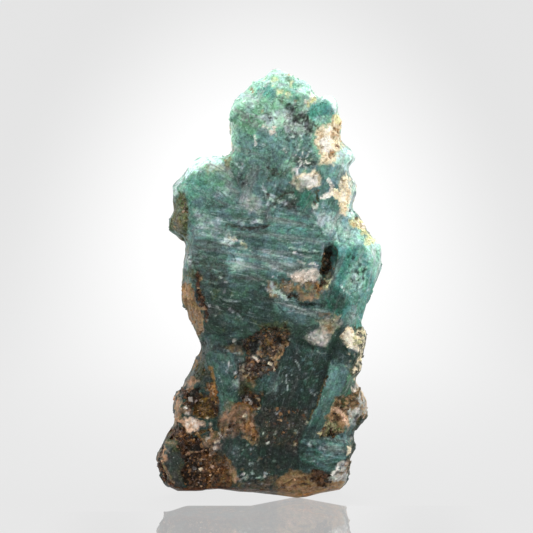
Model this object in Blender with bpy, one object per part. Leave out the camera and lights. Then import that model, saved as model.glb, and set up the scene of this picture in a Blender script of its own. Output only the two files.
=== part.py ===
"""Grandidierite specimen: one upright piece of teal crystal rock with mica and feldspar.

Run it with  blender --background --python part.py  or from Blender's text editor.
The stone stands on its worn foot. +Z is up, the broad show face looks along -Y, and the origin is
on the ground under the middle of its box. It is worked out in millimetres and scaled to metres last.
"""

import math
import random

import bmesh
import bpy
from mathutils import Euler, Matrix, Vector, noise
from mathutils.kdtree import KDTree

NODE = "grandidierite_stone"
METRES_PER_MM = 0.001

# The stone as a whole, in millimetres. Its outline sets the height of 60 and the width of 32.
RIM_SHARE = 0.30
BEVEL_ROUNDNESS = 1.5
BACK_BEVEL = 3.6
FOOT_BACK_BEVEL = 1.0
FRONT_SWAY = 0.30
BACK_SWAY = 0.60

# Sizes of the steps that the surface is made in, in millimetres.
BLANK_VOXEL = 0.5
GRAIN_VOXEL = 0.34
BODY_TRIANGLES = 9300
OUTLINE_STEPS = 4
CRYSTAL_ROOT = 2.0
CRYSTAL_EDGE = 0.25

# The broken faces of the stone, as planes over the outline: each passes through the depth given at
# (x, z) and changes by lean_x and lean_z for each millimetre. The lowest of them is the surface.
FRONT_FACES = [
    (0.0, 30.0, 8.00, 0.000, 0.000),    # the show face
    (-6.0, 42.0, 7.60, 0.200, -0.140),  # the shoulder falls away up and left
    (1.0, 50.0, 6.60, 0.020, -0.130),   # the head leans back
    (9.0, 46.0, 6.70, -0.340, -0.080),  # right of the head
    (14.0, 34.0, 7.90, -0.500, 0.050),  # edge of the bright crystal
    (11.4, 14.0, 7.40, -0.600, 0.100),  # the lobes at the lower right
    (-11.0, 7.0, 7.00, 0.180, 0.060),   # the mica corner at the lower left
    (0.0, 3.0, 7.90, 0.030, 0.900),     # the underside turns back to the foot
]
BACK_FACES = [
    (0.0, 30.0, 8.40, 0.030, -0.030),
    (-2.0, 12.0, 9.60, -0.130, 0.060),
    (7.0, 28.0, 7.80, -0.480, 0.010),
    (-7.0, 30.0, 8.00, 0.520, 0.050),
    (2.0, 50.0, 5.90, -0.060, -0.210),
    (0.0, 4.0, 9.00, 0.000, 0.450),
    (-7.0, 44.0, 6.70, 0.260, -0.240),
    (6.0, 10.0, 8.50, -0.360, 0.110),
    (-9.0, 8.0, 8.50, 0.420, 0.120),
]
# Ledges, where the stone has split along the grain: a point on the edge, the way that the low side
# faces as (x, z), the drop, and how far the low side reaches before it has risen again.
FRONT_LEDGES = [
    (-1.0, 23.4, -0.10, -0.99, 0.75, 40.0),
    (-1.8, 14.0, -0.90, 0.44, 0.35, 9.0),
]
BACK_LEDGES = [
    (1.0, 39.0, 0.35, 0.94, 1.2, 12.0),
    (-2.5, 24.0, -0.90, 0.43, 1.0, 9.0),
    (4.0, 19.0, 0.85, 0.53, 0.9, 8.0),
    (-3.0, 15.0, -0.30, -0.95, 0.8, 9.0),
]

# The front outline as (x, z), clockwise seen from the front, from the left end of the foot.
OUTLINE = [
    # left flank, from the foot up to the waist
    (-13.9, 1.3), (-14.8, 2.5), (-15.9, 5.1), (-15.6, 6.3), (-14.8, 8.3), (-13.5, 10.9), (-13.6, 12.5),
    (-12.8, 15.1), (-12.2, 16.4), (-11.4, 17.2), (-10.1, 19.9), (-9.8, 21.3), (-10.0, 22.4),
    # left side wall and the shoulder
    (-11.2, 25.0), (-11.5, 26.2), (-12.4, 28.3), (-12.1, 30.0), (-12.1, 35.8), (-13.6, 37.6),
    (-14.1, 38.5), (-13.4, 40.7), (-13.5, 42.2), (-13.8, 43.4), (-13.5, 44.4), (-12.4, 45.0),
    (-10.8, 47.0), (-9.1, 47.4), (-6.2, 48.4), (-5.6, 48.9),
    # the head
    (-5.9, 49.8), (-5.6, 50.9), (-5.5, 52.3), (-5.6, 53.9), (-5.3, 55.4), (-4.8, 56.4), (-2.8, 58.0),
    (-1.9, 58.8), (-0.8, 59.2), (0.0, 59.8), (1.2, 60.1), (2.4, 59.8), (3.6, 59.1), (4.8, 58.7),
    (6.0, 58.0), (6.7, 57.0), (7.2, 56.3), (8.6, 56.4), (9.5, 55.4), (9.6, 54.4),
    # right side, down past the feldspar to the bright crystal
    (10.2, 53.0), (10.3, 51.2), (10.8, 49.8), (11.7, 48.9), (12.0, 47.2), (11.5, 46.2), (11.9, 44.8),
    (12.4, 43.0), (12.0, 41.5), (14.0, 37.2), (15.3, 36.1), (15.8, 34.8), (15.8, 33.1), (14.6, 29.5),
    (12.9, 25.1),
    # right flank and the foot
    (13.4, 23.8), (13.6, 21.9), (12.7, 17.3), (12.9, 15.9), (14.1, 12.5), (13.6, 11.3), (12.6, 10.2),
    (12.0, 8.9), (12.0, 6.9), (11.5, 3.4), (11.0, 2.1), (9.9, 1.1), (7.9, 0.7), (6.0, 0.1), (4.3, 0.0),
    (2.6, 0.3), (0.0, 0.6), (-3.5, 0.8), (-7.7, 1.3), (-10.5, 1.0), (-12.7, 0.8),
]

# How wide the front bevel is around the outline: (x, z, width).
FRONT_BEVELS = [
    (-13.8, 38.5, 2.7), (-12.0, 31.0, 1.6), (-11.8, 27.0, 2.7), (-10.0, 22.0, 2.0), (-12.8, 14.0, 1.8),
    (-15.0, 5.0, 1.4), (-12.0, 46.0, 2.6), (-6.0, 49.0, 1.2), (-5.6, 53.0, 2.0), (1.0, 60.0, 3.4),
    (8.5, 56.5, 2.4), (10.3, 51.0, 2.0), (12.0, 45.0, 1.4), (15.3, 36.0, 1.6), (14.0, 29.0, 1.5),
    (13.4, 22.0, 1.3), (13.8, 13.0, 2.4), (12.0, 6.0, 1.5), (8.0, 0.5, 2.8), (3.0, 0.2, 3.0),
    (-7.0, 1.0, 1.0),
]

# Crystals with flat faces that stand out of the front: corners as (x, z), how far forward the face is,
# and how much nearer it comes for each millimetre to the right and up.
FRONT_CRYSTALS = {
    "striated_plate": (
        [(-10.0, 39.4), (-7.9, 40.7), (-5.3, 41.2), (-0.2, 39.6), (4.3, 37.6), (8.5, 36.2), (7.9, 34.0),
         (7.2, 32.0), (7.4, 27.8), (9.4, 25.8), (8.9, 24.3), (4.3, 24.3), (-1.1, 23.0), (-5.3, 23.3),
         (-8.1, 24.5), (-9.0, 27.8), (-9.8, 30.0), (-10.4, 32.3), (-10.6, 36.0)],
        8.30, 0.010, -0.070),
    "right_crystal": (
        [(9.4, 35.6), (11.6, 36.9), (13.6, 35.6), (14.4, 34.4), (14.4, 33.0), (13.5, 30.2), (12.3, 26.9),
         (11.5, 24.9), (10.2, 23.7), (9.7, 25.8), (7.6, 27.6), (8.8, 30.2), (9.5, 33.1)],
        8.10, -0.260, -0.030),
    "dark_prism": (
        [(3.3, 22.8), (5.4, 20.7), (8.2, 20.4), (9.0, 19.4), (7.8, 15.6), (6.1, 12.2), (4.6, 8.3),
         (4.0, 6.0), (0.3, 6.4), (-1.1, 9.4), (-1.7, 13.1), (-0.2, 17.6), (1.9, 21.5)],
        8.20, 0.020, 0.030),
    "lath": (
        [(9.2, 19.7), (11.3, 18.7), (10.8, 16.5), (9.3, 13.4), (7.8, 10.2), (6.5, 7.2), (5.0, 5.6),
         (4.4, 6.4), (4.9, 8.6), (6.5, 12.3), (8.1, 15.9)],
        8.65, -0.150, 0.050),
    "corner_block": (
        [(6.9, 8.0), (8.4, 9.0), (11.0, 9.0), (11.4, 7.2), (10.8, 4.9), (9.2, 3.6), (4.7, 3.4),
         (4.5, 5.3), (5.4, 5.6)],
        8.05, -0.040, -0.030),
    "cream_block": (
        [(10.2, 22.6), (11.4, 23.8), (12.2, 22.8), (12.6, 21.1), (12.0, 20.1), (10.2, 21.2)],
        8.60, -0.080, 0.040),
    "cream_patch": (
        [(6.2, 25.0), (9.5, 25.3), (9.1, 23.3), (8.4, 21.2), (6.1, 21.2), (5.5, 22.4)],
        8.65, 0.020, -0.050),
    "tongue": (
        [(-8.9, 21.2), (-4.7, 21.4), (-3.5, 17.6), (-4.0, 13.7), (-5.3, 11.3), (-6.9, 12.1), (-7.7, 15.8),
         (-8.7, 18.6)],
        8.15, 0.030, 0.020),
    "foot_block": (
        [(-5.3, 7.4), (-1.3, 8.0), (-0.4, 5.8), (3.8, 5.6), (4.2, 3.4), (2.9, 3.0), (-1.1, 2.4),
         (-4.5, 2.6), (-6.3, 4.9)],
        8.10, 0.010, 0.030),
    "corner_facet": (
        [(-14.3, 4.7), (-13.5, 6.5), (-12.4, 5.9), (-11.3, 2.9), (-12.0, 2.2), (-13.1, 2.4)],
        6.90, 0.120, 0.040),
}

# Crystals that stand out of the back, in the same terms.
BACK_CRYSTALS = {
    "back_lath": (
        [(2.4, 33.8), (4.6, 34.6), (7.0, 22.4), (5.6, 18.4), (3.6, 19.6)],
        8.70, -0.180, 0.010),
    "back_prism": (
        [(-6.6, 22.0), (-3.6, 23.2), (-0.6, 10.6), (-2.8, 6.2), (-5.8, 9.4)],
        10.00, 0.100, 0.030),
    "back_head_crystal": (
        [(-2.6, 53.2), (0.6, 54.6), (3.4, 50.0), (2.6, 45.4), (-1.2, 46.6)],
        6.60, -0.060, -0.080),
}

# Cavities in the front: corners as (x, z), and how deep the floor is below the face's own depth.
SLOT = [(8.4, 35.9), (9.1, 35.0), (9.1, 33.7), (8.6, 32.6), (8.4, 31.2), (7.5, 31.1), (7.2, 32.3),
        (7.6, 33.7), (7.6, 35.1)]
CREVICE = [(-4.7, 38.3), (-3.3, 38.7), (-1.7, 38.4), (0.7, 38.2), (-0.6, 37.9), (-2.2, 37.8), (-3.6, 38.1)]
LEDGE_CUT = [(3.4, 27.6), (5.1, 28.0), (6.7, 27.5), (8.4, 27.2), (7.3, 26.8), (5.9, 26.9), (4.5, 27.3)]
CUTTER_TOP = 14.0
FRONT_CAVITIES = [(SLOT, 5.6), (CREVICE, 7.3), (LEDGE_CUT, 7.8)]

# Grains fused to the surface: kind, centre x, z, half-spans, how many, and the grain's size.
FRONT_GRAINS = [
    ("lump", 0.8, 56.6, 5.2, 2.4, 26, 0.95),
    ("lump", -2.6, 53.2, 2.2, 2.4, 8, 0.90),
    ("lump", 7.4, 49.6, 1.9, 3.6, 16, 0.80),
    ("lump", 10.2, 43.6, 1.3, 3.8, 14, 0.80),
    ("lump", 12.6, 39.0, 1.4, 1.6, 5, 0.85),
    ("book", -11.3, 12.6, 1.9, 3.2, 26, 0.95),
    ("book", -10.6, 6.4, 2.6, 3.2, 34, 0.95),
    ("book", -8.0, 4.4, 2.2, 2.2, 14, 0.80),
    ("lump", -10.2, 10.0, 1.5, 0.9, 6, 0.85),
    ("lump", -7.6, 8.0, 1.4, 1.3, 6, 0.75),
    ("book", -0.9, 19.8, 1.8, 3.0, 22, 0.80),
    ("book", -2.6, 14.6, 1.2, 2.6, 12, 0.75),
    ("book", 9.4, 12.0, 1.5, 2.0, 18, 0.70),
    ("lump", 12.2, 13.2, 1.4, 2.4, 9, 0.90),
    ("book", 12.5, 19.6, 0.7, 3.4, 18, 0.65),
    ("lump", 10.6, 3.9, 0.9, 1.4, 7, 0.60),
    ("lump", 4.4, 29.4, 2.8, 1.3, 8, 0.55),
]
HEAD_KNOB = ((7.4, -5.1, 54.3), 2.35)
GRAIN_SEED = 11
RIM_GRAINS = 150
RIM_GRAIN_SINK = 0.90
BACK_GRAINS = 120

# The rough break of the surface: cell sizes, and heights on the sides and back and on the show face.
COARSE_CELL = 3.4
COARSE_BREAK = 0.32
COARSE_BREAK_SHOW = 0.12
FINE_CELL = 1.4
FINE_BREAK = 0.12
FINE_BREAK_SHOW = 0.05

# The foot: worn flats that the stone stands on, lowered by a little behind the front edge.
FOOT_FLATS = [(-12.4, 2.6, 1.9), (5.0, 5.2, 0.9)]
FOOT_FRONT = [1.2, -3.2]
FOOT_REACH = 4.0


def clear_scene():
    for obj in list(bpy.data.objects):
        bpy.data.objects.remove(obj)


def smooth_loop(points, steps):
    """A closed Catmull-Rom curve through the points, with this many steps between two of them."""
    corners = [Vector(p) for p in points]
    count = len(corners)
    loop = []
    for i in range(count):
        a, b, c, d = (corners[(i + k) % count] for k in (-1, 0, 1, 2))
        for step in range(steps):
            t = step / steps
            loop.append(0.5 * (2 * b + (c - a) * t + (2 * a - 5 * b + 4 * c - d) * t * t
                               + (3 * b - a - 3 * c + d) * t ** 3))
    return loop


def smooth_step(value, low, high):
    t = min(max((value - low) / (high - low), 0.0), 1.0)
    return t * t * (3 - 2 * t)


def add_object(name, bm):
    mesh = bpy.data.meshes.new(name)
    bm.to_mesh(mesh)
    bm.free()
    obj = bpy.data.objects.new(name, mesh)
    bpy.context.scene.collection.objects.link(obj)
    return obj


def apply_modifiers(obj):
    """Replaces the object's mesh with what its modifiers make of it."""
    graph = bpy.context.evaluated_depsgraph_get()
    made = bpy.data.meshes.new_from_object(obj.evaluated_get(graph))
    obj.modifiers.clear()
    obj.data = made


def voxel_remesh(obj, size):
    remesh = obj.modifiers.new("Remesh", "REMESH")
    remesh.mode = "VOXEL"
    remesh.voxel_size = size
    apply_modifiers(obj)


def thin_to(obj, triangles):
    obj.data.calc_loop_triangles()
    decimate = obj.modifiers.new("Decimate", "DECIMATE")
    decimate.ratio = min(1.0, triangles / len(obj.data.loop_triangles))
    apply_modifiers(obj)


def boolean(obj, tool, operation):
    cut = obj.modifiers.new("Boolean", "BOOLEAN")
    cut.operation = operation
    cut.solver = "EXACT"
    cut.object = tool
    apply_modifiers(obj)
    bpy.data.objects.remove(tool)


def bevel_width(x, z):
    """The front bevel's width here, from the nearest of the stated widths."""
    total = share = 0.0
    for bx, bz, width in FRONT_BEVELS:
        weight = 1.0 / ((x - bx) ** 2 + (z - bz) ** 2 + 0.5) ** 2
        total += weight
        share += weight * width
    return share / total


def bevel_profile(distance, width):
    """How much of the full depth is reached at this distance in from the outline."""
    t = min(max(distance / width, 0.0), 1.0)
    rise = (1 - (1 - t) ** BEVEL_ROUNDNESS) ** (1 / BEVEL_ROUNDNESS)
    return RIM_SHARE + (1 - RIM_SHARE) * rise


def lowest_face(faces, x, z):
    return min(depth + lean_x * (x - fx) + lean_z * (z - fz) for fx, fz, depth, lean_x, lean_z in faces)


def ledge_drop(ledges, x, z):
    """How much the ledges take off the surface here."""
    drop = 0.0
    for ex, ez, way_x, way_z, height, reach in ledges:
        past = (x - ex) * way_x + (z - ez) * way_z
        drop += height * smooth_step(past, 0.0, 0.4) * (1 - smooth_step(past, 0.4, reach))
    return drop


def front_depth(x, z):
    """How far the front stands forward, before crystals and bevels."""
    sway = FRONT_SWAY * noise.fractal(Vector((x, 3.7, z)) / 7.0, 1.0, 2.0, 3)
    return lowest_face(FRONT_FACES, x, z) + sway - ledge_drop(FRONT_LEDGES, x, z)


def back_depth(x, z):
    """How far the back stands backward, before its crystals and bevel."""
    sway = BACK_SWAY * noise.fractal(Vector((x, -8.1, z)) / 9.0, 1.0, 2.0, 3)
    return lowest_face(BACK_FACES, x, z) + sway - ledge_drop(BACK_LEDGES, x, z)


def outline_tree(loop):
    tree = KDTree(len(loop))
    for i, p in enumerate(loop):
        tree.insert((p.x, 0.0, p.y), i)
    tree.balance()
    return tree


def blank_stone(loop, tree):
    """The bare stone: the outline as a slab, its faces swelled and its rims bevelled."""
    bm = bmesh.new()
    face = bm.faces.new([bm.verts.new((p.x, -1.0, p.y)) for p in loop])
    grown = bmesh.ops.extrude_face_region(bm, geom=[face])
    moved = [item for item in grown["geom"] if isinstance(item, bmesh.types.BMVert)]
    bmesh.ops.translate(bm, verts=moved, vec=(0.0, 2.0, 0.0))
    bmesh.ops.recalc_face_normals(bm, faces=bm.faces)
    obj = add_object(NODE, bm)
    voxel_remesh(obj, BLANK_VOXEL)
    for vertex in obj.data.vertices:
        x, y, z = vertex.co
        distance = tree.find((x, 0.0, z))[2]
        if y < 0:
            vertex.co.y = y * front_depth(x, z) * bevel_profile(distance, bevel_width(x, z))
        else:
            width = FOOT_BACK_BEVEL + (BACK_BEVEL - FOOT_BACK_BEVEL) * smooth_step(z, 0.0, 6.0)
            vertex.co.y = y * back_depth(x, z) * bevel_profile(distance, width)
    return obj


def add_crystal(bm, corners, depth, lean_x, lean_z, side):
    """A prism rooted in the stone, whose flat outer face has these corners. side is -1 front, 1 back."""
    middle = sum((Vector(c) for c in corners), Vector((0, 0))) / len(corners)
    prism = bmesh.new()
    root = prism.faces.new([prism.verts.new((x, side * CRYSTAL_ROOT, z)) for x, z in corners])
    grown = bmesh.ops.extrude_face_region(prism, geom=[root])
    face = [item for item in grown["geom"] if isinstance(item, bmesh.types.BMFace)][0]
    for vertex in face.verts:
        lean = lean_x * (vertex.co.x - middle.x) + lean_z * (vertex.co.z - middle.y)
        vertex.co.y = side * (depth + lean)
    bmesh.ops.recalc_face_normals(prism, faces=prism.faces)
    bmesh.ops.bevel(prism, geom=face.edges[:], offset=CRYSTAL_EDGE, segments=1, profile=0.5, material=-1,
                    affect="EDGES")
    mesh = bpy.data.meshes.new("crystal")
    prism.to_mesh(mesh)
    prism.free()
    bm.from_mesh(mesh)
    bpy.data.meshes.remove(mesh)


def add_lump(bm, place, size, chance):
    """A rounded grain of feldspar or grandidierite."""
    made = bmesh.ops.create_icosphere(bm, subdivisions=1, radius=size)
    turn = Euler([chance.uniform(0, math.tau) for _ in range(3)]).to_matrix().to_4x4()
    stretch = Matrix.Diagonal((chance.uniform(0.7, 1.3), chance.uniform(0.6, 1.0), 1.0, 1.0))
    bmesh.ops.transform(bm, matrix=Matrix.Translation(place) @ turn @ stretch, verts=made["verts"])


def add_book(bm, place, size, chance):
    """A book of mica: a squat six-sided stack of leaves."""
    made = bmesh.ops.create_cone(bm, cap_ends=True, segments=6, radius1=size * 0.75, radius2=size * 0.75,
                                 depth=size * chance.uniform(0.5, 0.9))
    turn = Euler([chance.uniform(0, math.tau) for _ in range(3)]).to_matrix().to_4x4()
    stretch = Matrix.Diagonal((chance.uniform(0.7, 1.2), 1.0, 1.0, 1.0))
    bmesh.ops.transform(bm, matrix=Matrix.Translation(place) @ turn @ stretch, verts=made["verts"])


def fuse_growths(obj, loop, tree):
    """Fuses crystals, mica books and rounded grains to the blank, and remeshes the whole as one skin."""
    chance = random.Random(GRAIN_SEED)
    bm = bmesh.new()
    bm.from_mesh(obj.data)
    for side, crystals in ((-1, FRONT_CRYSTALS), (1, BACK_CRYSTALS)):
        for corners, depth, lean_x, lean_z in crystals.values():
            add_crystal(bm, corners, depth, lean_x, lean_z, side)
    makers = {"lump": add_lump, "book": add_book}
    for kind, cx, cz, half_x, half_z, count, size in FRONT_GRAINS:
        for _ in range(count):
            x = cx + half_x * chance.uniform(-1, 1)
            z = cz + half_z * chance.uniform(-1, 1)
            distance = tree.find((x, 0.0, z))[2]
            depth = front_depth(x, z) * bevel_profile(distance, bevel_width(x, z))
            grain = size * chance.uniform(0.6, 1.2)
            if distance > grain:
                makers[kind](bm, Vector((x, 0.25 * grain - depth, z)), grain, chance)
    for _ in range(RIM_GRAINS):
        i = chance.randrange(len(loop))
        size = chance.uniform(0.5, 1.1)
        inward = (loop[i - 1] - loop[i]).orthogonal().normalized() * size * RIM_GRAIN_SINK
        place = Vector((loop[i].x + inward.x, chance.uniform(-2.0, 5.0), loop[i].y + inward.y))
        makers[chance.choice(("lump", "book"))](bm, place, size, chance)
    for _ in range(BACK_GRAINS):
        x, z = chance.uniform(-14, 14), chance.uniform(3, 57)
        place = Vector((x, back_depth(x, z) - 0.4, z))
        if tree.find((x, 0.0, z))[2] > BACK_BEVEL and inside(loop, x, z):
            makers[chance.choice(("lump", "book"))](bm, place, chance.uniform(0.6, 1.4), chance)
    made = bmesh.ops.create_icosphere(bm, subdivisions=3, radius=HEAD_KNOB[1])
    bmesh.ops.translate(bm, verts=made["verts"], vec=HEAD_KNOB[0])
    bm.to_mesh(obj.data)
    bm.free()
    voxel_remesh(obj, GRAIN_VOXEL)
    keep_outer_skin(obj)


def keep_outer_skin(obj):
    """Deletes every shell but the largest, such as a bubble closed in between grains."""
    bm = bmesh.new()
    bm.from_mesh(obj.data)
    left = set(bm.verts)
    shells = []
    while left:
        shell, front = set(), [left.pop()]
        while front:
            vertex = front.pop()
            shell.add(vertex)
            for edge in vertex.link_edges:
                other = edge.other_vert(vertex)
                if other in left:
                    left.discard(other)
                    front.append(other)
        shells.append(shell)
    largest = max(shells, key=len)
    spare = [v for shell in shells if shell is not largest for v in shell]
    bmesh.ops.delete(bm, geom=spare, context="VERTS")
    bm.to_mesh(obj.data)
    bm.free()


def inside(loop, x, z):
    """True if (x, z) is inside the outline, by counting the edges to its right."""
    odd = False
    for a, b in zip(loop, loop[1:] + loop[:1]):
        if (a.y > z) != (b.y > z) and x < a.x + (b.x - a.x) * (z - a.y) / (b.y - a.y):
            odd = not odd
    return odd


def break_surface(obj):
    """Breaks the smooth skin into the small tilted facets of a rough fracture, faintest on the show face."""
    mesh = obj.data
    normals = [v.normal.copy() for v in mesh.vertices]
    for vertex, normal in zip(mesh.vertices, normals):
        show = smooth_step(-normal.y, 0.5, 0.9)
        coarse = COARSE_BREAK + (COARSE_BREAK_SHOW - COARSE_BREAK) * show
        fine = FINE_BREAK + (FINE_BREAK_SHOW - FINE_BREAK) * show
        p = vertex.co.copy()
        vertex.co += normal * (coarse * facet(p, COARSE_CELL) + fine * facet(p, FINE_CELL))


def facet(p, cell):
    """Height of a field of tilted facets, about one for each cell of this size."""
    spot = p / cell
    centre = noise.voronoi(spot)[1][0]
    lean = noise.cell_vector(centre * 7.3)
    return (spot - centre).dot(lean) * 1.4 + lean.x * 0.5


def lower_foot(obj):
    """Lowers the underside behind its front edge, where it will be worn flat."""
    for vertex in obj.data.vertices:
        x, y, z = vertex.co
        for (centre, half, drop), front in zip(FOOT_FLATS, FOOT_FRONT):
            across = 1 - smooth_step(abs(x - centre), half, half + 2.0)
            along = smooth_step(y, front - 0.8, front + 0.8) * (1 - smooth_step(y, 7.0, 9.5))
            upward = 1 - smooth_step(z, 0.0, FOOT_REACH)
            vertex.co.z -= drop * across * along * upward


def wear_flat(obj):
    """Cuts the foot off level at the ground."""
    bm = bmesh.new()
    bm.from_mesh(obj.data)
    cut = bmesh.ops.bisect_plane(bm, geom=bm.verts[:] + bm.edges[:] + bm.faces[:], dist=1e-5,
                                 plane_co=(0, 0, 0), plane_no=(0, 0, 1), clear_inner=True)
    rim = [item for item in cut["geom_cut"] if isinstance(item, bmesh.types.BMEdge)]
    bmesh.ops.holes_fill(bm, edges=rim, sides=0)
    bmesh.ops.triangulate(bm, faces=bm.faces)
    bm.to_mesh(obj.data)
    bm.free()


def cavity(corners, floor):
    """A cutter that opens the front down to its floor, this far forward of the stone's middle."""
    bm = bmesh.new()
    face = bm.faces.new([bm.verts.new((x, -floor, z)) for x, z in corners])
    grown = bmesh.ops.extrude_face_region(bm, geom=[face])
    moved = [item for item in grown["geom"] if isinstance(item, bmesh.types.BMVert)]
    bmesh.ops.translate(bm, verts=moved, vec=(0.0, floor - CUTTER_TOP, 0.0))
    bmesh.ops.recalc_face_normals(bm, faces=bm.faces)
    return add_object("cavity", bm)


def centre_on_ground(obj):
    """Puts the origin on the ground under the middle of the box, and scales the mesh to metres."""
    points = [v.co for v in obj.data.vertices]
    low = Vector([min(p[i] for p in points) for i in range(3)])
    high = Vector([max(p[i] for p in points) for i in range(3)])
    shift = Vector((-(low.x + high.x) / 2, -(low.y + high.y) / 2, -low.z))
    obj.data.transform(Matrix.Scale(METRES_PER_MM, 4) @ Matrix.Translation(shift))
    print("centre shift, mm:", tuple(round(v, 3) for v in shift), "box, mm:",
          tuple(round(v, 2) for v in high - low), "triangles:", len(obj.data.polygons))


def stone_material():
    material = bpy.data.materials.new("teal_stone")
    material.use_nodes = True
    shader = material.node_tree.nodes["Principled BSDF"]
    shader.inputs["Base Color"].default_value = (0.10, 0.24, 0.20, 1.0)
    shader.inputs["Roughness"].default_value = 0.45
    shader.inputs["Metallic"].default_value = 0.0
    return material


def main():
    clear_scene()
    loop = smooth_loop(OUTLINE, OUTLINE_STEPS)
    tree = outline_tree(loop)
    stone = blank_stone(loop, tree)
    fuse_growths(stone, loop, tree)
    break_surface(stone)
    lower_foot(stone)
    thin_to(stone, BODY_TRIANGLES)
    for corners, floor in FRONT_CAVITIES:
        boolean(stone, cavity(corners, floor), "DIFFERENCE")
    wear_flat(stone)
    keep_outer_skin(stone)
    centre_on_ground(stone)
    stone.data.materials.clear()
    stone.data.materials.append(stone_material())


main()
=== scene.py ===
# %% [markdown]
# # A grandidierite specimen
#
# The stone is one natural piece: blue-green grandidierite crystals, grown together with cream
# feldspar and brown mica. The construction model already has its true outline, its big crystals and
# its ledges. These cells give it what makes rock look like rock: a broken surface, streaks that run
# with each crystal, mineral patches with ragged edges, and thousands of small flakes that catch the
# light.
#
# The cells run from top to bottom. Each one prints what it made, so a reader can stop after any cell
# and look at the scene.

import math
import random

import bmesh
import bpy
import numpy as np
from mathutils import Euler, Matrix, Vector, noise


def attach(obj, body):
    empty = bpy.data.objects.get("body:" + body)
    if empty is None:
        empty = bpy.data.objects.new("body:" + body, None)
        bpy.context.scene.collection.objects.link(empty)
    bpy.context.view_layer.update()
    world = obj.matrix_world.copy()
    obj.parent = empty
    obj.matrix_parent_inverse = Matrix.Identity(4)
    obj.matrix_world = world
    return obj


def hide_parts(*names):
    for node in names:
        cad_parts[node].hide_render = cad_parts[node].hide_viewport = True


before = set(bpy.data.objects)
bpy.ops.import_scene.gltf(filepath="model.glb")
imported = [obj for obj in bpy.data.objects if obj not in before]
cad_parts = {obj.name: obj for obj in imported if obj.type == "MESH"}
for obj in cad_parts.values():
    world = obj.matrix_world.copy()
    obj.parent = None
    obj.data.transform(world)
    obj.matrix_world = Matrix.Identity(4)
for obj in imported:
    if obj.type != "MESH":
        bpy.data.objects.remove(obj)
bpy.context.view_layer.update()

MM = 0.001
STONE_NODE = "grandidierite_stone"

# %% [markdown]
# ## The camera
#
# A stone that is 60 mm tall is seen from close by through a long lens, so that its near face isn't
# swollen. The camera comes first, because the fine surface is only as fine as the picture can
# show: one picture element is about 0.14 mm at the stone. It stands almost level with the stone,
# two degrees above it.

# %% The camera
VIEW_DISTANCE = 209 * MM
VIEW_RISE = math.radians(2)
VIEW_AIM = Vector((-0.46, 0, 32.5)) * MM
LENS = 100

camera = bpy.data.objects.new("camera", bpy.data.cameras.new("camera"))
bpy.context.scene.collection.objects.link(camera)
camera.location = VIEW_AIM + VIEW_DISTANCE * Vector((0, -math.cos(VIEW_RISE), math.sin(VIEW_RISE)))
camera.rotation_euler = (VIEW_AIM - camera.location).to_track_quat("-Z", "Y").to_euler()
camera.data.lens = LENS
camera.data.clip_start = 10 * MM
bpy.context.scene.camera = camera
print("camera at, mm:", [round(v / MM, 1) for v in camera.location])

# %% [markdown]
# ## A small language for materials
#
# Shader nodes are easier to read as sentences than as a list of links. `node` adds one node and takes
# a value or another node's output for each input, by the input's name or number. `maths`, `times` and
# `plus` work on numbers, `vectors` on places. `ramp` and `blend` are the two that a rock needs most:
# one turns a grey pattern into shades, the other lays one colour over another.

# %% Helpers for shader nodes
def node(tree, kind, inputs=None, **settings):
    """Adds a shader node. An input's value may be a plain value or another node's output."""
    made = tree.nodes.new(kind)
    for name, value in settings.items():
        setattr(made, name, value)
    for name, value in (inputs or {}).items():
        if isinstance(value, bpy.types.NodeSocket):
            tree.links.new(value, made.inputs[name])
        else:
            made.inputs[name].default_value = value
    return made


def ramp(tree, pattern, low, high, to_low=0.0, to_high=1.0):
    """Stretches the part of a grey pattern between low and high over the range given."""
    made = node(tree, "ShaderNodeMapRange", {"Value": pattern, "From Min": low, "From Max": high,
                                             "To Min": to_low, "To Max": to_high},
                interpolation_type="SMOOTHSTEP")
    return made.outputs["Result"]


def maths(tree, operation, a, b=0.0):
    return node(tree, "ShaderNodeMath", {0: a, 1: b}, operation=operation).outputs[0]


def times(tree, a, b):
    return maths(tree, "MULTIPLY", a, b)


def plus(tree, a, b):
    return maths(tree, "ADD", a, b)


def vectors(tree, operation, output=0, **inputs):
    """One step of vector maths. The inputs a and b are vectors, and Scale is a number."""
    numbered = {{"a": 0, "b": 1}.get(name, name): value for name, value in inputs.items()}
    return node(tree, "ShaderNodeVectorMath", numbered, operation=operation).outputs[output]


def blend(tree, share, under, over, mode="MIX"):
    """Lays one colour over another. An input may be a colour value or an output."""
    made = node(tree, "ShaderNodeMix", {0: share}, data_type="RGBA", blend_type=mode)
    for number, colour in ((6, under), (7, over)):
        if isinstance(colour, bpy.types.NodeSocket):
            tree.links.new(colour, made.inputs[number])
        else:
            made.inputs[number].default_value = (*colour, 1.0)
    return made.outputs[2]


def new_material(name):
    material = bpy.data.materials.new(name)
    material.use_nodes = True
    material.node_tree.nodes.clear()
    return material, material.node_tree


# %% [markdown]
# ## The studio
#
# A pale sheet that curves up into a backdrop leaves no horizon behind the stone. It is a strip of
# floor, extruded twice and bevelled along the bend. The sheet is milky acrylic with light behind it,
# as on a light table, so the ground under the stone stays bright. It glows most in the middle of the
# backdrop. It is glossy only on a small patch in front of the stone, up to its front rim, which fades
# out to both sides and further forward: the stone has a faint reflection there, no lamp shows in the
# backdrop, and the gap below the raised lower edge is bright.

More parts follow.
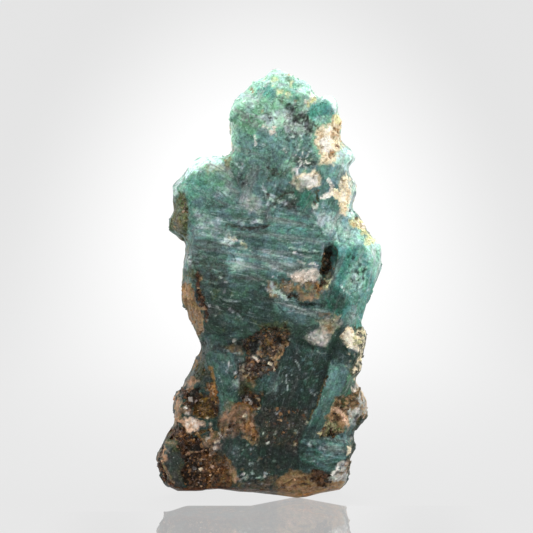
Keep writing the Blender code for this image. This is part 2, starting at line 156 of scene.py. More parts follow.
# %% Floor and backdrop
FLOOR_HALF = 700 * MM
FLOOR_BACK = 460 * MM
BACKDROP_TOP = 700 * MM
BEND = 300 * MM
FLOOR_MIRROR = 0.48
MIRROR_FADES = (16 * MM, 30 * MM)
MIRROR_ENDS = (-40 * MM, -25 * MM)
STANDS_AT = 3.7 * MM
NEAREST_RIM = 1.2 * MM
FRONT_RIM = 7.5 * MM
LEFT_CORNER = (-14 * MM, -11 * MM)
LEFT_CORNER_RIM = 4 * MM
RIM_BLUR = 0.4 * MM
SHEET_GREY = (0.02, 0.02, 0.02, 1)
GLOSS_GREY = (0.9, 0.9, 0.9, 1)
SHEET_GLOW = (1.20, 0.765)
GLOW_CENTRE = (0, 450 * MM, 17 * MM)
GLOW_REACH = 128 * MM
GLOW_LONGER = (1.2, 0.25, 0.88)

bm = bmesh.new()
front_edge = [bm.verts.new((side * FLOOR_HALF, -FLOOR_HALF, 0)) for side in (-1, 1)]
edge = bm.edges.new(front_edge)
for move in ((0, FLOOR_HALF + FLOOR_BACK, 0), (0, 0, BACKDROP_TOP)):
    grown = bmesh.ops.extrude_edge_only(bm, edges=[edge])["geom"]
    edge = [item for item in grown if isinstance(item, bmesh.types.BMEdge)
            and all(v in grown for v in item.verts)][0]
    bmesh.ops.translate(bm, verts=edge.verts, vec=move)
fold = [e for e in bm.edges if len(e.link_faces) == 2]
bmesh.ops.bevel(bm, geom=fold, offset=BEND, segments=24, profile=0.5, affect="EDGES", material=-1)
bmesh.ops.recalc_face_normals(bm, faces=bm.faces)
for face in bm.faces:
    face.smooth = True
floor_mesh = bpy.data.meshes.new("studio_floor")
bm.to_mesh(floor_mesh)
bm.free()
studio_floor = bpy.data.objects.new("studio_floor", floor_mesh)
bpy.context.scene.collection.objects.link(studio_floor)

sheet, tree = new_material("milky_acrylic")
spot = node(tree, "ShaderNodeTexCoord").outputs["Object"]
spot_x, spot_y = node(tree, "ShaderNodeSeparateXYZ", {0: spot}).outputs[:2]
aside = maths(tree, "ABSOLUTE", maths(tree, "SUBTRACT", spot_x, STANDS_AT))
front_rim = maths(tree, "MINIMUM", plus(tree, aside, NEAREST_RIM), FRONT_RIM)
front_rim = plus(tree, front_rim, ramp(tree, spot_x, *LEFT_CORNER, LEFT_CORNER_RIM, 0.0))
mirror = ramp(tree, plus(tree, spot_y, front_rim), -RIM_BLUR, RIM_BLUR, FLOOR_MIRROR, 0.0)
off_middle = maths(tree, "ABSOLUTE", spot_x)
mirror = times(tree, mirror, ramp(tree, off_middle, *MIRROR_FADES, 1.0, 0.0))
mirror = times(tree, mirror, ramp(tree, spot_y, *MIRROR_ENDS))
from_centre = vectors(tree, "SUBTRACT", a=spot, b=GLOW_CENTRE)
from_centre = vectors(tree, "MULTIPLY", a=from_centre, b=GLOW_LONGER)
from_centre = vectors(tree, "LENGTH", "Value", a=from_centre)
dull = node(tree, "ShaderNodeBsdfDiffuse", {"Color": SHEET_GREY})
glow = node(tree, "ShaderNodeEmission", {"Strength": ramp(tree, from_centre, 0, GLOW_REACH, *SHEET_GLOW)})
milky = node(tree, "ShaderNodeAddShader", {0: dull.outputs[0], 1: glow.outputs[0]})
gloss = node(tree, "ShaderNodeBsdfGlossy", {"Color": GLOSS_GREY, "Roughness": 0.03})
both = node(tree, "ShaderNodeMixShader", {0: mirror, 1: milky.outputs[0], 2: gloss.outputs[0]})
node(tree, "ShaderNodeOutputMaterial", {"Surface": both.outputs[0]})
floor_mesh.materials.append(sheet)
print("floor and backdrop:", len(floor_mesh.polygons), "faces")

# %% [markdown]
# ## The light
#
# A soft light above and a little behind makes the thin upper edges glow. The key light hangs close
# above the front, so the head is brighter than the foot. A small hard light gives each flake its own
# spark.

# %% Lights
LIGHTS = [
    # (name, place in mm, size in mm, watts)
    ("top_light", (40, 120, 300), 160, 0.62),
    ("right_light", (240, 30, 150), 160, 0.50),
    ("left_light", (-240, 40, 150), 160, 0.42),
    ("key_light", (-60, -200, 260), 150, 0.50),
    ("spark_light", (60, -300, 180), 12, 0.10),
]
ROOM_LIGHT = 0.37


def area_light(name, place, size, watts):
    light = bpy.data.lights.new(name, "AREA")
    light.size = size * MM
    light.energy = watts
    lamp = bpy.data.objects.new(name, light)
    bpy.context.scene.collection.objects.link(lamp)
    lamp.location = Vector(place) * MM
    lamp.rotation_euler = (VIEW_AIM - lamp.location).to_track_quat("-Z", "Y").to_euler()


for lamp in LIGHTS:
    area_light(*lamp)

world = bpy.data.worlds.new("room")
bpy.context.scene.world = world
world.use_nodes = True
room = world.node_tree.nodes["Background"]
room.inputs["Color"].default_value = (1, 1, 1, 1)
room.inputs["Strength"].default_value = ROOM_LIGHT
bpy.context.scene.view_settings.view_transform = "Standard"

# %% [markdown]
# ## The stone's skin
#
# The construction model is a coarse solid of flat facets. A voxel remesh turns a copy of it into an
# even net of small squares, and the facets on the show face, which is seen closest, are subdivided
# once more. Then there are enough points for crystals, grains and scratches to be real shape.

# %% Remesh a copy of the solid
NET = 0.37
FRONT_LOOK = 0.36
SOFTEN_ROUNDS = 2


def count_triangles(mesh):
    return sum(len(face.vertices) - 2 for face in mesh.polygons)


solid = bpy.data.objects[STONE_NODE]
bm = bmesh.new()
bm.from_mesh(solid.data)
bmesh.ops.remove_doubles(bm, verts=bm.verts, dist=1e-6)
stone_mesh = bpy.data.meshes.new("stone_skin")
bm.to_mesh(stone_mesh)
bm.free()
stone = bpy.data.objects.new("stone_skin", stone_mesh)
bpy.context.scene.collection.objects.link(stone)

remesh = stone.modifiers.new("Remesh", "REMESH")
remesh.mode = "VOXEL"
remesh.voxel_size = NET * MM
graph = bpy.context.evaluated_depsgraph_get()
stone_mesh = bpy.data.meshes.new_from_object(stone.evaluated_get(graph))
stone.modifiers.clear()
stone.data = stone_mesh

bm = bmesh.new()
bm.from_mesh(stone_mesh)
for _ in range(SOFTEN_ROUNDS):
    bmesh.ops.smooth_vert(bm, verts=bm.verts, factor=0.5, use_axis_x=True, use_axis_y=True,
                          use_axis_z=True)
bm.normal_update()
front = [f for f in bm.faces if f.normal.y < -FRONT_LOOK]
front_edges = {e for f in front for e in f.edges}
bmesh.ops.subdivide_edges(bm, edges=list(front_edges), cuts=1, use_grid_fill=True)
bm.to_mesh(stone_mesh)
bm.free()
print("skin:", len(stone_mesh.vertices), "points,", count_triangles(stone_mesh), "triangles")

# %% [markdown]
# ## Where a point shows
#
# The mineral patches are laid out on a map of the show face: millimetres across from the middle and
# up from the ground, as a viewer in front of the stone sees them. `map_places` gives each point of
# the skin its place on that map. A patch then runs on over a step or a rim in the way that a vein
# runs on through rock.

# %% Places on the map
MAP_PLANE = -8 * MM


def map_places(points):
    """Where the line of sight through each point meets the plane of the show face, in millimetres."""
    eye = np.array(camera.location)
    reach = (MAP_PLANE - eye[1]) / (points[:, 1] - eye[1])
    return (eye + (points - eye) * reach[:, None])[:, [0, 2]] / MM


def smooth_step(values, low, high):
    t = np.clip((values - low) / (high - low), 0, 1)
    return t * t * (3 - 2 * t)


def cloud(points, cell, octaves=1, seed=0.0):
    """Fractal noise at each point, about -1 to 1, for points in mm. Each seed gives other noise."""
    return np.array([noise.fractal(Vector(p), 0.8, 2.0, octaves) for p in points / cell + seed])


def read_points(mesh):
    points = np.empty(len(mesh.vertices) * 3)
    mesh.vertices.foreach_get("co", points)
    return points.reshape(-1, 3)


def read_normals(mesh):
    normals = np.empty(len(mesh.vertices) * 3)
    mesh.vertices.foreach_get("normal", normals)
    return normals.reshape(-1, 3)


points = read_points(stone_mesh)
normals = read_normals(stone_mesh)
places = map_places(points)
print("map runs from", places.min(axis=0).round(1), "to", places.max(axis=0).round(1), "mm")

# %% [markdown]
# ## Trimming the outline
#
# The coarse solid is a little fuller than the rock, most of all where two facets meet. The skin is
# drawn in all round its outline, and a few corners are nudged further: each nudge has a centre and a
# radius on the map, and a move. Last, the lower edge is lifted to a wavering line, since the stone
# stands on a few points and its front edge hangs free.

# %% Trim the outline
DRAWN_IN = 0.30
NUDGES = [
    # (x, z, radius, move x, move z)
    (-6.4, 49.0, 1.2, 0.6, -0.5), (-4.4, 56.6, 1.6, 0.25, -0.2), (-1.6, 59.2, 1.2, 0.2, -0.2),
    (6.9, 57.3, 1.3, -0.1, -1.0), (9.4, 56.4, 1.2, -0.1, -0.2), (10.7, 50.4, 0.9, -0.5, -0.2),
    (0.9, 60.0, 2.4, 0.0, 0.15), (-8.8, 47.2, 2.2, 0.0, 0.45), (12.6, 18.8, 0.9, 0.35, 0.0),
    (11.4, 8.2, 1.3, 0.35, 0.0), (-15.0, 6.6, 1.0, -0.35, 0.0),
    (11.5, 46.0, 0.9, -0.4, 0.0), (12.4, 41.0, 0.9, -0.6, 0.0), (12.6, 43.6, 1.2, -0.2, -0.2),
    (-12.6, 36.0, 1.1, 0.5, 0.0), (-10.8, 24.2, 1.2, 0.15, 0.0),
    (12.7, 17.2, 1.0, -0.5, 0.0), (-14.0, 44.8, 1.6, 0.5, 0.0), (-13.9, 40.2, 1.0, 0.3, 0.0),
    (-14.5, 11.0, 1.2, 0.4, 0.0), (11.6, 6.2, 1.6, -0.3, 0.0),
]
LOWER_EDGE = [(-13.6, 2.6), (-12.6, 2.1), (-9.5, 2.1), (-7.0, 2.4), (-4.1, 2.0), (-1.3, 1.8), (1.4, 1.5),
              (3.7, 1.15), (5.0, 1.3), (6.8, 1.8), (9.5, 2.3), (10.6, 3.2), (11.2, 4.4)]
EDGE_BLUR = 0.2

move = np.zeros_like(places)
for x, z, radius, move_x, move_z in NUDGES:
    share = np.exp(-((places - (x, z)) ** 2).sum(axis=1) / radius ** 2)
    move += share[:, None] * (move_x, move_z)
lowest = np.interp((places + move)[:, 0], *np.transpose(LOWER_EDGE))
above = (places + move)[:, 1] - lowest
move[:, 1] += EDGE_BLUR * np.logaddexp(0, above / EDGE_BLUR) - above
reach = (MAP_PLANE - camera.location.y) / (points[:, 1] - camera.location.y)
points -= normals * (DRAWN_IN * MM * (1 - np.abs(normals[:, 1:2])) * (normals[:, 2:] > -0.5))
points[:, [0, 2]] += move / reach[:, None] * MM
points[:, 2] = np.maximum(points[:, 2], 0)
stone_mesh.vertices.foreach_set("co", points.ravel())
stone_mesh.update()
normals = read_normals(stone_mesh)
places = map_places(points)
from_edge = places[:, 1] - np.interp(places[:, 0], *np.transpose(LOWER_EDGE))
spots_mm = points / MM
print("moved by up to", np.abs(move).max().round(2), "mm")

# %% [markdown]
# ## The minerals
#
# Each mineral has the colour that it shows in even light, written as the usual 0 to 255 values, and
# says how much it is feldspar (dull, blocky) or mica (flaky, glittering). What is neither is
# grandidierite, from pale mint where the crystal is thin to near black where it is deep. The glow is
# no mineral but painted light: the bright glow of thin edges lit from above and behind.

# %% The minerals
MINERALS = {
    # name: (colour, feldspar, mica)
    # The glow is no mineral: painted light, the bright glow of thin edges lit from above and behind.
    "glow": ((214, 246, 236), 0.0, 0.0),
    "mint": ((180, 224, 202), 0.0, 0.0),
    "sage": ((140, 184, 158), 0.0, 0.0),
    "leaf": ((96, 140, 112), 0.0, 0.0),
    "aqua": ((128, 170, 164), 0.0, 0.0),
    "teal": ((92, 158, 144), 0.0, 0.0),
    "sea": ((44, 100, 84), 0.0, 0.0),
    "steel": ((92, 126, 120), 0.0, 0.0),
    "slate": ((62, 84, 74), 0.0, 0.0),
    "deep": ((42, 62, 54), 0.0, 0.0),
    "ink": ((32, 38, 33), 0.0, 0.1),
    "veil": ((200, 214, 208), 0.1, 0.0),
    "white": ((252, 248, 238), 0.7, 0.0),
    "cream": ((253, 236, 203), 1.0, 0.0),
    "butter": ((240, 232, 176), 1.0, 0.0),
    "blush": ((240, 226, 212), 0.9, 0.0),
    "shell": ((240, 202, 172), 0.8, 0.0),
    "lilac": ((190, 192, 186), 0.5, 0.1),
    "tan": ((176, 140, 98), 0.6, 0.2),
    "leather": ((148, 114, 76), 0.4, 0.2),
    "mauve": ((186, 142, 108), 0.7, 0.1),
    "ochre": ((170, 124, 66), 0.3, 0.3),
    "rust": ((182, 122, 58), 0.2, 0.6),
    "gold": ((124, 94, 34), 0.2, 0.9),
    "olive": ((80, 84, 46), 0.1, 0.3),
    "moss": ((72, 70, 34), 0.0, 0.5),
    "smoke": ((64, 62, 54), 0.1, 0.2),
    "pepper": ((58, 58, 49), 0.0, 0.36),
    "bark": ((80, 43, 19), 0.0, 0.8),
    "umber": ((60, 35, 14), 0.0, 1.0),
    "black": ((20, 17, 13), 0.0, 0.2),
}


def linear(colour):
    """The colour as shaders count it, in proportion to its light."""
    share = np.array(colour) / 255
    return np.where(share < 0.04045, share / 12.92, ((share + 0.055) / 1.055) ** 2.4)


print(len(MINERALS), "minerals and shades")

# %% [markdown]
# ## Patches, seams and spots
#
# A patch is a closed outline, a seam is a line with a width, and spots are round. `distance_to_line`
# is the one piece of geometry that they share. Their edges are made ragged by moving each place on
# the map by a little noise before it is measured, which is cheaper and more natural than drawing
# ragged outlines.

# %% Tools for laying minerals down
RAGGED_COARSE = (1.8, 0.70)
RAGGED_FINE = (0.5, 0.30)
marks = []


def patch(mineral, share, soft, *corners, ragged=1.0):
    marks.append((mineral, share, soft, 0.0, np.array(corners + corners[:1]), ragged, True))


def seam(mineral, share, half_width, *line, soft=0.2, ragged=0.6):
    marks.append((mineral, share, soft, half_width, np.array(line), ragged, False))


def spots(mineral, share, radius, *centres, soft=0.25):
    for centre in centres:
        marks.append((mineral, share, soft, radius, np.array([centre]), 0.5, False))


def sprinkle(mineral, share, radius, amount, *outline):
    """Spots at random places inside an outline, the same ones each time."""
    outline = np.array(outline + outline[:1])
    dice = np.random.default_rng(len(marks))
    tries = dice.uniform(outline.min(axis=0), outline.max(axis=0), (amount * 5, 2))
    spots(mineral, share, radius, *tries[is_inside(tries, outline)][:amount], soft=0.18)


def distance_to_line(where, line):
    """Distance from each place to a line of one or more points."""
    if len(line) == 1:
        return np.linalg.norm(where - line[0], axis=1)
    nearest = np.full(len(where), np.inf)
    for a, b in zip(line[:-1], line[1:]):
        along = np.clip((where - a) @ (b - a) / ((b - a) @ (b - a)), 0, 1)
        nearest = np.minimum(nearest, np.linalg.norm(where - a - along[:, None] * (b - a), axis=1))
    return nearest


def is_inside(where, outline):
    """True for each place inside a closed outline, by counting the edges on its right."""
    odd = np.zeros(len(where), bool)
    for a, b in zip(outline[:-1], outline[1:]):
        if a[1] != b[1]:
            crosses = (a[1] > where[:, 1]) != (b[1] > where[:, 1])
            odd ^= crosses & (where[:, 0] < a[0] + (b[0] - a[0]) * (where[:, 1] - a[1]) / (b[1] - a[1]))
    return odd


def ragged_shift(where, cell, size, seed):
    flat = np.column_stack([where, np.zeros(len(where))])
    return np.column_stack([cloud(flat, cell, 2, seed), cloud(flat, cell, 2, seed + 31.7)]) * size


print("patches, seams and spots are ready")

# %% [markdown]
# ## What lies where
#
# The next cells draw the minerals of the show face, from the head down to the foot, in the order in
# which they lie over each other. The shares below 1 let what is under them show through, as thin
# crystal does.

# %% The head
patch("sage", 1.0, 1.2, (-6.2, 47.6), (-6.2, 55.0), (-2.5, 59.0), (1.0, 61.0), (5.5, 60.0), (7.4, 57.0),
      (6.2, 53.0), (6.2, 47.0), (0.0, 45.8))
patch("mint", 0.65, 0.9, (-2.6, 56.6), (-3.0, 58.4), (1.0, 60.8), (5.8, 59.4), (7.2, 56.8), (5.2, 55.9),
      (1.5, 56.8))
patch("mint", 0.45, 1.0, (-5.5, 56.4), (-2.6, 56.8), (-1.2, 55.4), (-2.5, 53.6), (-5.6, 53.2))
patch("veil", 0.5, 0.8, (-4.6, 55.8), (-2.8, 56.4), (-2.0, 55.2), (-3.6, 54.2))
patch("leaf", 0.95, 0.9, (-5.0, 53.4), (-1.4, 53.8), (-0.8, 52.0), (-2.0, 50.6), (-5.2, 51.0))
patch("leaf", 0.5, 0.7, (-3.4, 54.8), (-1.6, 55.0), (-1.4, 54.0), (-3.2, 53.6))
patch("steel", 0.85, 0.9, (-4.6, 51.0), (-1.0, 51.0), (-1.0, 47.8), (-4.6, 47.0))
patch("steel", 0.95, 0.9, (-1.4, 51.0), (2.6, 51.2), (3.0, 48.2), (1.5, 46.2), (-2.5, 46.2))
patch("aqua", 0.5, 0.8, (0.0, 50.4), (1.8, 50.6), (2.0, 49.0), (0.4, 48.8))
patch("slate", 0.5, 0.8, (-1.6, 48.2), (1.6, 48.4), (1.8, 46.6), (-1.6, 46.4))
patch("steel", 0.85, 0.5, (2.4, 51.4), (5.8, 51.2), (6.1, 47.6), (4.4, 46.2), (2.2, 47.2))
patch("teal", 0.85, 0.6, (-1.8, 57.3), (0.2, 57.6), (1.0, 56.5), (0.4, 55.4), (-0.8, 55.5), (-1.9, 56.3))
patch("teal", 0.55, 0.5, (2.8, 57.0), (4.0, 57.2), (4.4, 56.0), (3.0, 55.6), (2.4, 56.2))
patch("sea", 0.65, 0.4, (3.2, 56.2), (4.4, 55.9), (4.4, 55.2), (3.3, 55.0))
patch("veil", 0.65, 0.6, (-1.0, 53.4), (1.5, 54.0), (2.8, 53.2), (2.2, 51.8), (-0.6, 52.0))
patch("lilac", 0.5, 0.6, (1.8, 54.6), (5.4, 54.0), (5.7, 51.6), (4.0, 50.6), (2.2, 51.0), (1.6, 52.8))
patch("slate", 0.8, 0.4, (2.3, 55.4), (3.5, 54.8), (3.8, 53.8), (2.9, 53.2), (2.2, 54.2))
patch("ink", 0.85, 0.35, (3.2, 53.4), (4.5, 53.6), (5.5, 52.8), (5.8, 51.4), (5.0, 51.2), (4.2, 52.0),
      (3.4, 52.2))
patch("leaf", 0.8, 0.35, (3.2, 54.6), (4.2, 54.5), (4.3, 53.8), (3.4, 53.6))
patch("pepper", 0.5, 0.5, (2.6, 51.4), (4.2, 51.2), (4.4, 50.4), (3.0, 50.2))
sprinkle("black", 0.75, 0.12, 26, (2.2, 55.2), (5.5, 53.6), (6.0, 51.0), (3.0, 50.4))
sprinkle("veil", 0.75, 0.11, 44, (2.0, 54.0), (5.4, 53.0), (6.0, 48.0), (2.4, 47.8))
sprinkle("slate", 0.6, 0.16, 22, (2.2, 51.4), (5.8, 51.2), (6.0, 47.6), (2.4, 47.6))
sprinkle("pepper", 0.6, 0.14, 12, (-1.0, 53.6), (2.4, 54.0), (2.6, 51.4), (-0.8, 51.4))
patch("blush", 0.95, 0.3, (-0.9, 51.8), (0.2, 52.0), (0.6, 51.4), (0.1, 50.9), (-0.6, 51.2))
# Painted light: the glow seam along the head's top edge and the glow patch after it paint the bright rim of
# thin crystal lit from above.
seam("glow", 0.45, 0.5, (-0.4, 59.0), (1.4, 59.8), (3.0, 59.2), (4.8, 58.2), (6.0, 57.2))
patch("glow", 0.35, 0.7, (4.4, 57.8), (5.8, 57.2), (5.8, 56.4), (4.6, 56.6))
seam("veil", 0.6, 0.35, (-5.6, 48.9), (-5.5, 50.5), (-5.2, 52.5))
seam("butter", 0.8, 0.3, (5.2, 54.5), (5.6, 55.2), (6.0, 55.9))
seam("white", 0.8, 0.12, (5.0, 54.7), (5.4, 55.3), (5.6, 56.0))
seam("olive", 0.75, 0.3, (-5.2, 49.4), (-5.5, 48.0), (-5.9, 46.9))
seam("tan", 0.5, 0.3, (-5.4, 47.6), (-5.6, 47.0))
spots("black", 0.9, 0.26, (0.2, 53.0), (4.6, 53.3), (3.1, 54.2))
spots("black", 0.8, 0.16, (5.1, 52.4), (5.4, 51.4), (4.9, 51.9), (2.7, 55.0), (3.9, 52.4))
spots("butter", 0.55, 0.4, (0.8, 58.1), (2.4, 56.2), (1.4, 56.2), (2.9, 57.4))
spots("butter", 0.6, 0.2, (-1.0, 54.1), (0.6, 57.3), (3.4, 55.4), (-0.9, 58.0))
spots("tan", 0.75, 0.24, (-2.7, 56.8), (-1.8, 58.2), (2.4, 58.8), (2.7, 58.6), (-2.4, 56.5))
spots("olive", 0.6, 0.3, (2.2, 58.2), (2.6, 57.8), (1.6, 55.4))
# The white spot at (-4.0, 47.3) and the next thin white seam are painted glints; the spots at (2.3, 48.3) and
# (1.9, 48.6) are white specks.
spots("white", 0.9, 0.12, (-4.0, 47.3), (2.3, 48.3), (1.9, 48.6))
seam("white", 0.9, 0.05, (-2.05, 50.5), (-2.0, 50.0), (-1.9, 49.2), soft=0.12, ragged=0.2)
seam("veil", 0.7, 0.05, (-1.3, 49.4), (-0.7, 49.35), soft=0.12, ragged=0.2)
seam("veil", 0.6, 0.08, (-1.5, 49.4), (-0.4, 49.3))
seam("smoke", 0.5, 0.6, (3.4, 47.4), (4.6, 46.9), (6.0, 47.0))
for angle in range(0, 360, 24):
    turn = np.array([math.cos(math.radians(angle)), math.sin(math.radians(angle))])
    seam("black" if angle % 48 else "white", 0.75, 0.06, (4.5, 47.2) + 0.3 * turn, (4.5, 47.2) + 1.2 * turn,
         soft=0.14, ragged=0.2)
seam("black", 0.6, 0.12, (5.2, 46.4), (5.9, 47.0), (6.3, 46.6), ragged=0.3)
seam("white", 0.6, 0.08, (5.4, 46.8), (6.0, 46.4), ragged=0.2)
patch("umber", 0.8, 0.3, (-0.4, 46.2), (0.9, 46.4), (1.2, 45.4), (0.4, 44.9), (-0.2, 45.2))
spots("black", 0.8, 0.2, (0.2, 45.4), (0.2, 44.9))
seam("moss", 0.6, 0.2, (1.2, 45.6), (2.4, 45.9), (3.0, 46.4))
spots("gold", 0.8, 0.16, (0.0, 44.6))
spots("leaf", 0.7, 0.32, (2.6, 46.0), (3.4, 46.6))

# %% The knob on the head
patch("teal", 1.0, 0.35, (5.0, 53.4), (5.7, 54.7), (6.9, 55.7), (8.4, 55.8), (9.3, 54.6), (8.6, 53.2),
      (8.1, 52.6), (7.1, 52.1), (5.9, 52.4), ragged=0.15)
patch("sea", 0.3, 0.6, (5.2, 53.8), (6.2, 54.4), (6.4, 53.4), (5.6, 52.8), ragged=0.2)
# Painted light: this glow patch paints the lit top right of the knob.
patch("glow", 1.0, 0.7, (7.0, 55.4), (7.8, 56.8), (9.6, 56.0), (9.8, 54.2), (9.0, 53.5), (8.5, 54.5),
      (8.0, 55.2), ragged=0.3)
patch("mint", 0.6, 0.5, (5.9, 52.9), (7.4, 53.3), (8.4, 53.0), (7.2, 52.0), (6.2, 52.2), ragged=0.3)
seam("veil", 0.5, 0.25, (6.0, 54.9), (6.9, 55.6), (7.6, 55.9), ragged=0.3)
seam("black", 0.7, 0.15, (4.9, 53.2), (5.3, 52.6), (6.0, 52.1))

# %% The feldspar beside the head
patch("cream", 1.0, 0.5, (6.2, 51.7), (7.6, 52.0), (8.4, 52.8), (9.3, 53.6), (10.1, 52.4), (9.8, 50.6),
      (10.0, 49.4), (9.5, 48.2), (9.0, 47.2), (8.2, 46.6), (6.9, 46.8), (6.6, 48.6), (6.1, 49.8), ragged=0.6)
patch("butter", 1.0, 0.4, (8.6, 53.2), (9.3, 53.8), (10.1, 52.8), (9.9, 51.7), (9.2, 51.9), (8.7, 52.4),
      ragged=0.5)
patch("white", 0.9, 0.5, (6.9, 50.2), (8.4, 50.4), (8.6, 48.4), (7.0, 48.2))
patch("white", 0.7, 0.4, (7.4, 51.8), (8.2, 52.0), (8.2, 51.0), (7.4, 51.0))
patch("tan", 0.45, 0.5, (6.2, 51.4), (7.0, 51.6), (7.4, 50.6), (6.6, 50.0), (6.2, 50.4))
spots("ochre", 0.74, 0.44, (8.9, 51.4), (8.8, 50.7), (9.1, 49.2), (8.2, 48.0))
spots("rust", 0.8, 0.16, (8.7, 51.3), (9.2, 50.5), (8.9, 49.1), (8.3, 47.7), (7.2, 47.9), (9.3, 51.9),
      (9.6, 50.1), (8.6, 48.3), (9.5, 48.9))
spots("bark", 0.7, 0.11, (9.1, 51.2), (9.0, 50.3), (9.4, 49.0), (8.0, 47.6), (8.8, 47.9), (7.3, 47.6))
spots("ochre", 0.6, 0.24, (7.0, 50.4), (7.2, 49.0), (7.5, 47.2))
spots("olive", 0.8, 0.24, (6.5, 51.6), (6.2, 51.9))
spots("umber", 0.65, 0.16, (10.1, 49.2), (10.9, 49.3), (9.9, 49.8), (10.2, 48.6), (10.4, 49.2))
# Painted light: this glow patch paints the lit right rim beside the feldspar.
patch("glow", 0.95, 0.4, (9.4, 48.4), (11.4, 49.4), (11.9, 47.4), (11.5, 46.0), (9.6, 45.8), (9.0, 47.0))
patch("aqua", 0.8, 0.5, (6.8, 46.0), (8.4, 46.6), (9.4, 46.6), (10.2, 45.6), (9.2, 44.4), (8.9, 43.6),
      (8.2, 44.2), (7.2, 45.2))
patch("aqua", 0.6, 0.4, (9.6, 47.8), (10.8, 47.6), (10.9, 46.6), (9.8, 46.4))
spots("leaf", 0.5, 0.2, (8.4, 45.6), (9.4, 45.4), (9.8, 47.9), (10.6, 46.3), (7.7, 45.8))
patch("cream", 1.0, 0.35, (3.4, 45.0), (4.4, 45.4), (5.4, 45.7), (6.2, 46.1), (6.8, 45.2), (6.6, 44.0),
      (5.8, 43.2), (4.4, 43.0), (3.2, 44.0), (2.8, 44.4), ragged=0.7)
patch("white", 1.0, 0.35, (4.0, 44.8), (5.4, 45.4), (6.6, 45.2), (6.5, 44.0), (5.4, 43.4), (4.4, 43.7),
      ragged=0.2)
seam("white", 0.95, 0.14, (3.1, 45.9), (3.6, 46.1), (3.8, 45.4), (3.3, 45.1), (3.0, 45.7), (3.1, 45.9),
     ragged=0.2)
seam("tan", 0.3, 0.1, (4.4, 44.2), (5.0, 43.7), (6.0, 43.8))
seam("umber", 0.5, 0.1, (5.6, 45.2), (6.3, 45.0), (7.0, 45.1))
patch("steel", 0.9, 0.3, (6.8, 44.4), (7.8, 44.3), (8.0, 42.9), (7.0, 42.6), (6.4, 43.4))
seam("white", 0.95, 0.3, (7.9, 44.4), (8.5, 43.6), (8.3, 42.9), (7.4, 42.2), ragged=0.5)
seam("blush", 0.7, 0.2, (8.3, 43.6), (9.2, 43.0), (9.3, 42.2))
patch("cream", 1.0, 0.3, (9.5, 44.2), (10.2, 45.2), (11.1, 44.9), (11.2, 42.8), (10.9, 40.8), (10.2, 39.9),
      (9.5, 40.0), (9.4, 41.6), (8.7, 42.4), (8.6, 43.2), (9.3, 43.4), ragged=0.5)
patch("white", 0.6, 0.3, (9.6, 44.0), (10.2, 44.8), (10.2, 42.0), (9.7, 41.6), ragged=0.4)
seam("ochre", 0.35, 0.2, (10.7, 43.6), (10.6, 42.2), (10.2, 40.8))
patch("veil", 0.95, 0.4, (11.2, 44.8), (11.8, 44.6), (12.3, 43.2), (12.0, 41.8), (11.4, 41.2), (11.1, 42.4),
      (11.1, 43.8))
patch("steel", 0.5, 0.4, (11.2, 43.0), (11.9, 43.2), (11.7, 42.0), (11.2, 41.8))
spots("umber", 0.5, 0.13, (11.9, 44.2), (12.1, 43.2), (11.6, 41.4), (11.2, 45.3))
patch("moss", 0.9, 0.3, (6.1, 42.4), (6.5, 43.0), (6.9, 42.4), (6.8, 41.4), (6.2, 41.2), (5.9, 41.8))
spots("black", 0.85, 0.16, (6.1, 41.7), (6.7, 41.5), (6.6, 42.5), (6.4, 42.0))
spots("leaf", 0.6, 0.14, (6.3, 42.3), (6.5, 41.8))
seam("white", 0.95, 0.14, (5.7, 41.4), (5.9, 40.9), (6.3, 40.7), (6.5, 41.0), ragged=0.3)
patch("steel", 1.0, 0.25, (6.6, 41.2), (7.4, 41.6), (8.6, 41.9), (9.4, 41.1), (9.2, 40.0), (8.2, 39.6),
      (7.0, 39.9), ragged=0.4)
spots("olive", 0.8, 0.18, (9.4, 41.2), (9.5, 41.6))

# %% The shoulder
patch("leaf", 0.8, 0.8, (-13.4, 44.8), (-9.4, 46.4), (-5.6, 47.0), (-4.6, 44.0), (-8.6, 42.0), (-12.4, 41.8))
patch("mint", 0.95, 0.6, (-12.4, 45.4), (-10.8, 47.4), (-6.0, 48.8), (-5.6, 47.4), (-7.8, 46.8),
      (-9.4, 46.2), (-11.6, 44.7))
patch("mint", 0.9, 0.4, (-11.8, 46.0), (-9.6, 47.2), (-7.6, 47.4), (-7.8, 46.2), (-9.6, 45.6), (-11.4, 45.0))
# Painted light: this glow seam paints the bright, lit top edge of the shoulder.
seam("glow", 0.95, 0.6, (-11.8, 45.3), (-10.6, 46.6), (-8.4, 47.4), (-6.6, 47.7))
patch("butter", 0.2, 0.6, (-9.0, 46.0), (-7.4, 46.8), (-6.0, 47.0), (-6.2, 46.0), (-8.6, 45.4))
patch("teal", 0.6, 0.8, (-12.2, 44.4), (-9.8, 44.8), (-7.8, 43.6), (-8.6, 42.4), (-11.0, 42.6), (-12.0, 43.2))
patch("deep", 0.25, 0.8, (-11.4, 44.4), (-9.0, 44.6), (-7.8, 43.4), (-8.6, 42.2), (-11.0, 42.6))
patch("steel", 0.6, 0.7, (-10.6, 45.2), (-7.2, 45.6), (-5.6, 44.8), (-7.8, 44.2), (-10.2, 45.0))
patch("steel", 0.95, 0.7, (-8.6, 43.4), (-5.0, 44.2), (-3.8, 42.8), (-4.2, 40.6), (-7.8, 40.2), (-10.8, 41.2))
patch("slate", 0.55, 0.7, (-8.8, 41.6), (-5.4, 41.8), (-5.4, 40.4), (-8.6, 40.2))
patch("veil", 0.35, 0.5, (-7.0, 43.6), (-5.2, 43.4), (-5.6, 42.2), (-7.2, 42.4))
patch("slate", 0.7, 0.9, (-5.0, 47.4), (-2.8, 47.0), (-1.6, 45.0), (-2.6, 43.0), (-4.2, 43.2), (-5.0, 45.0))
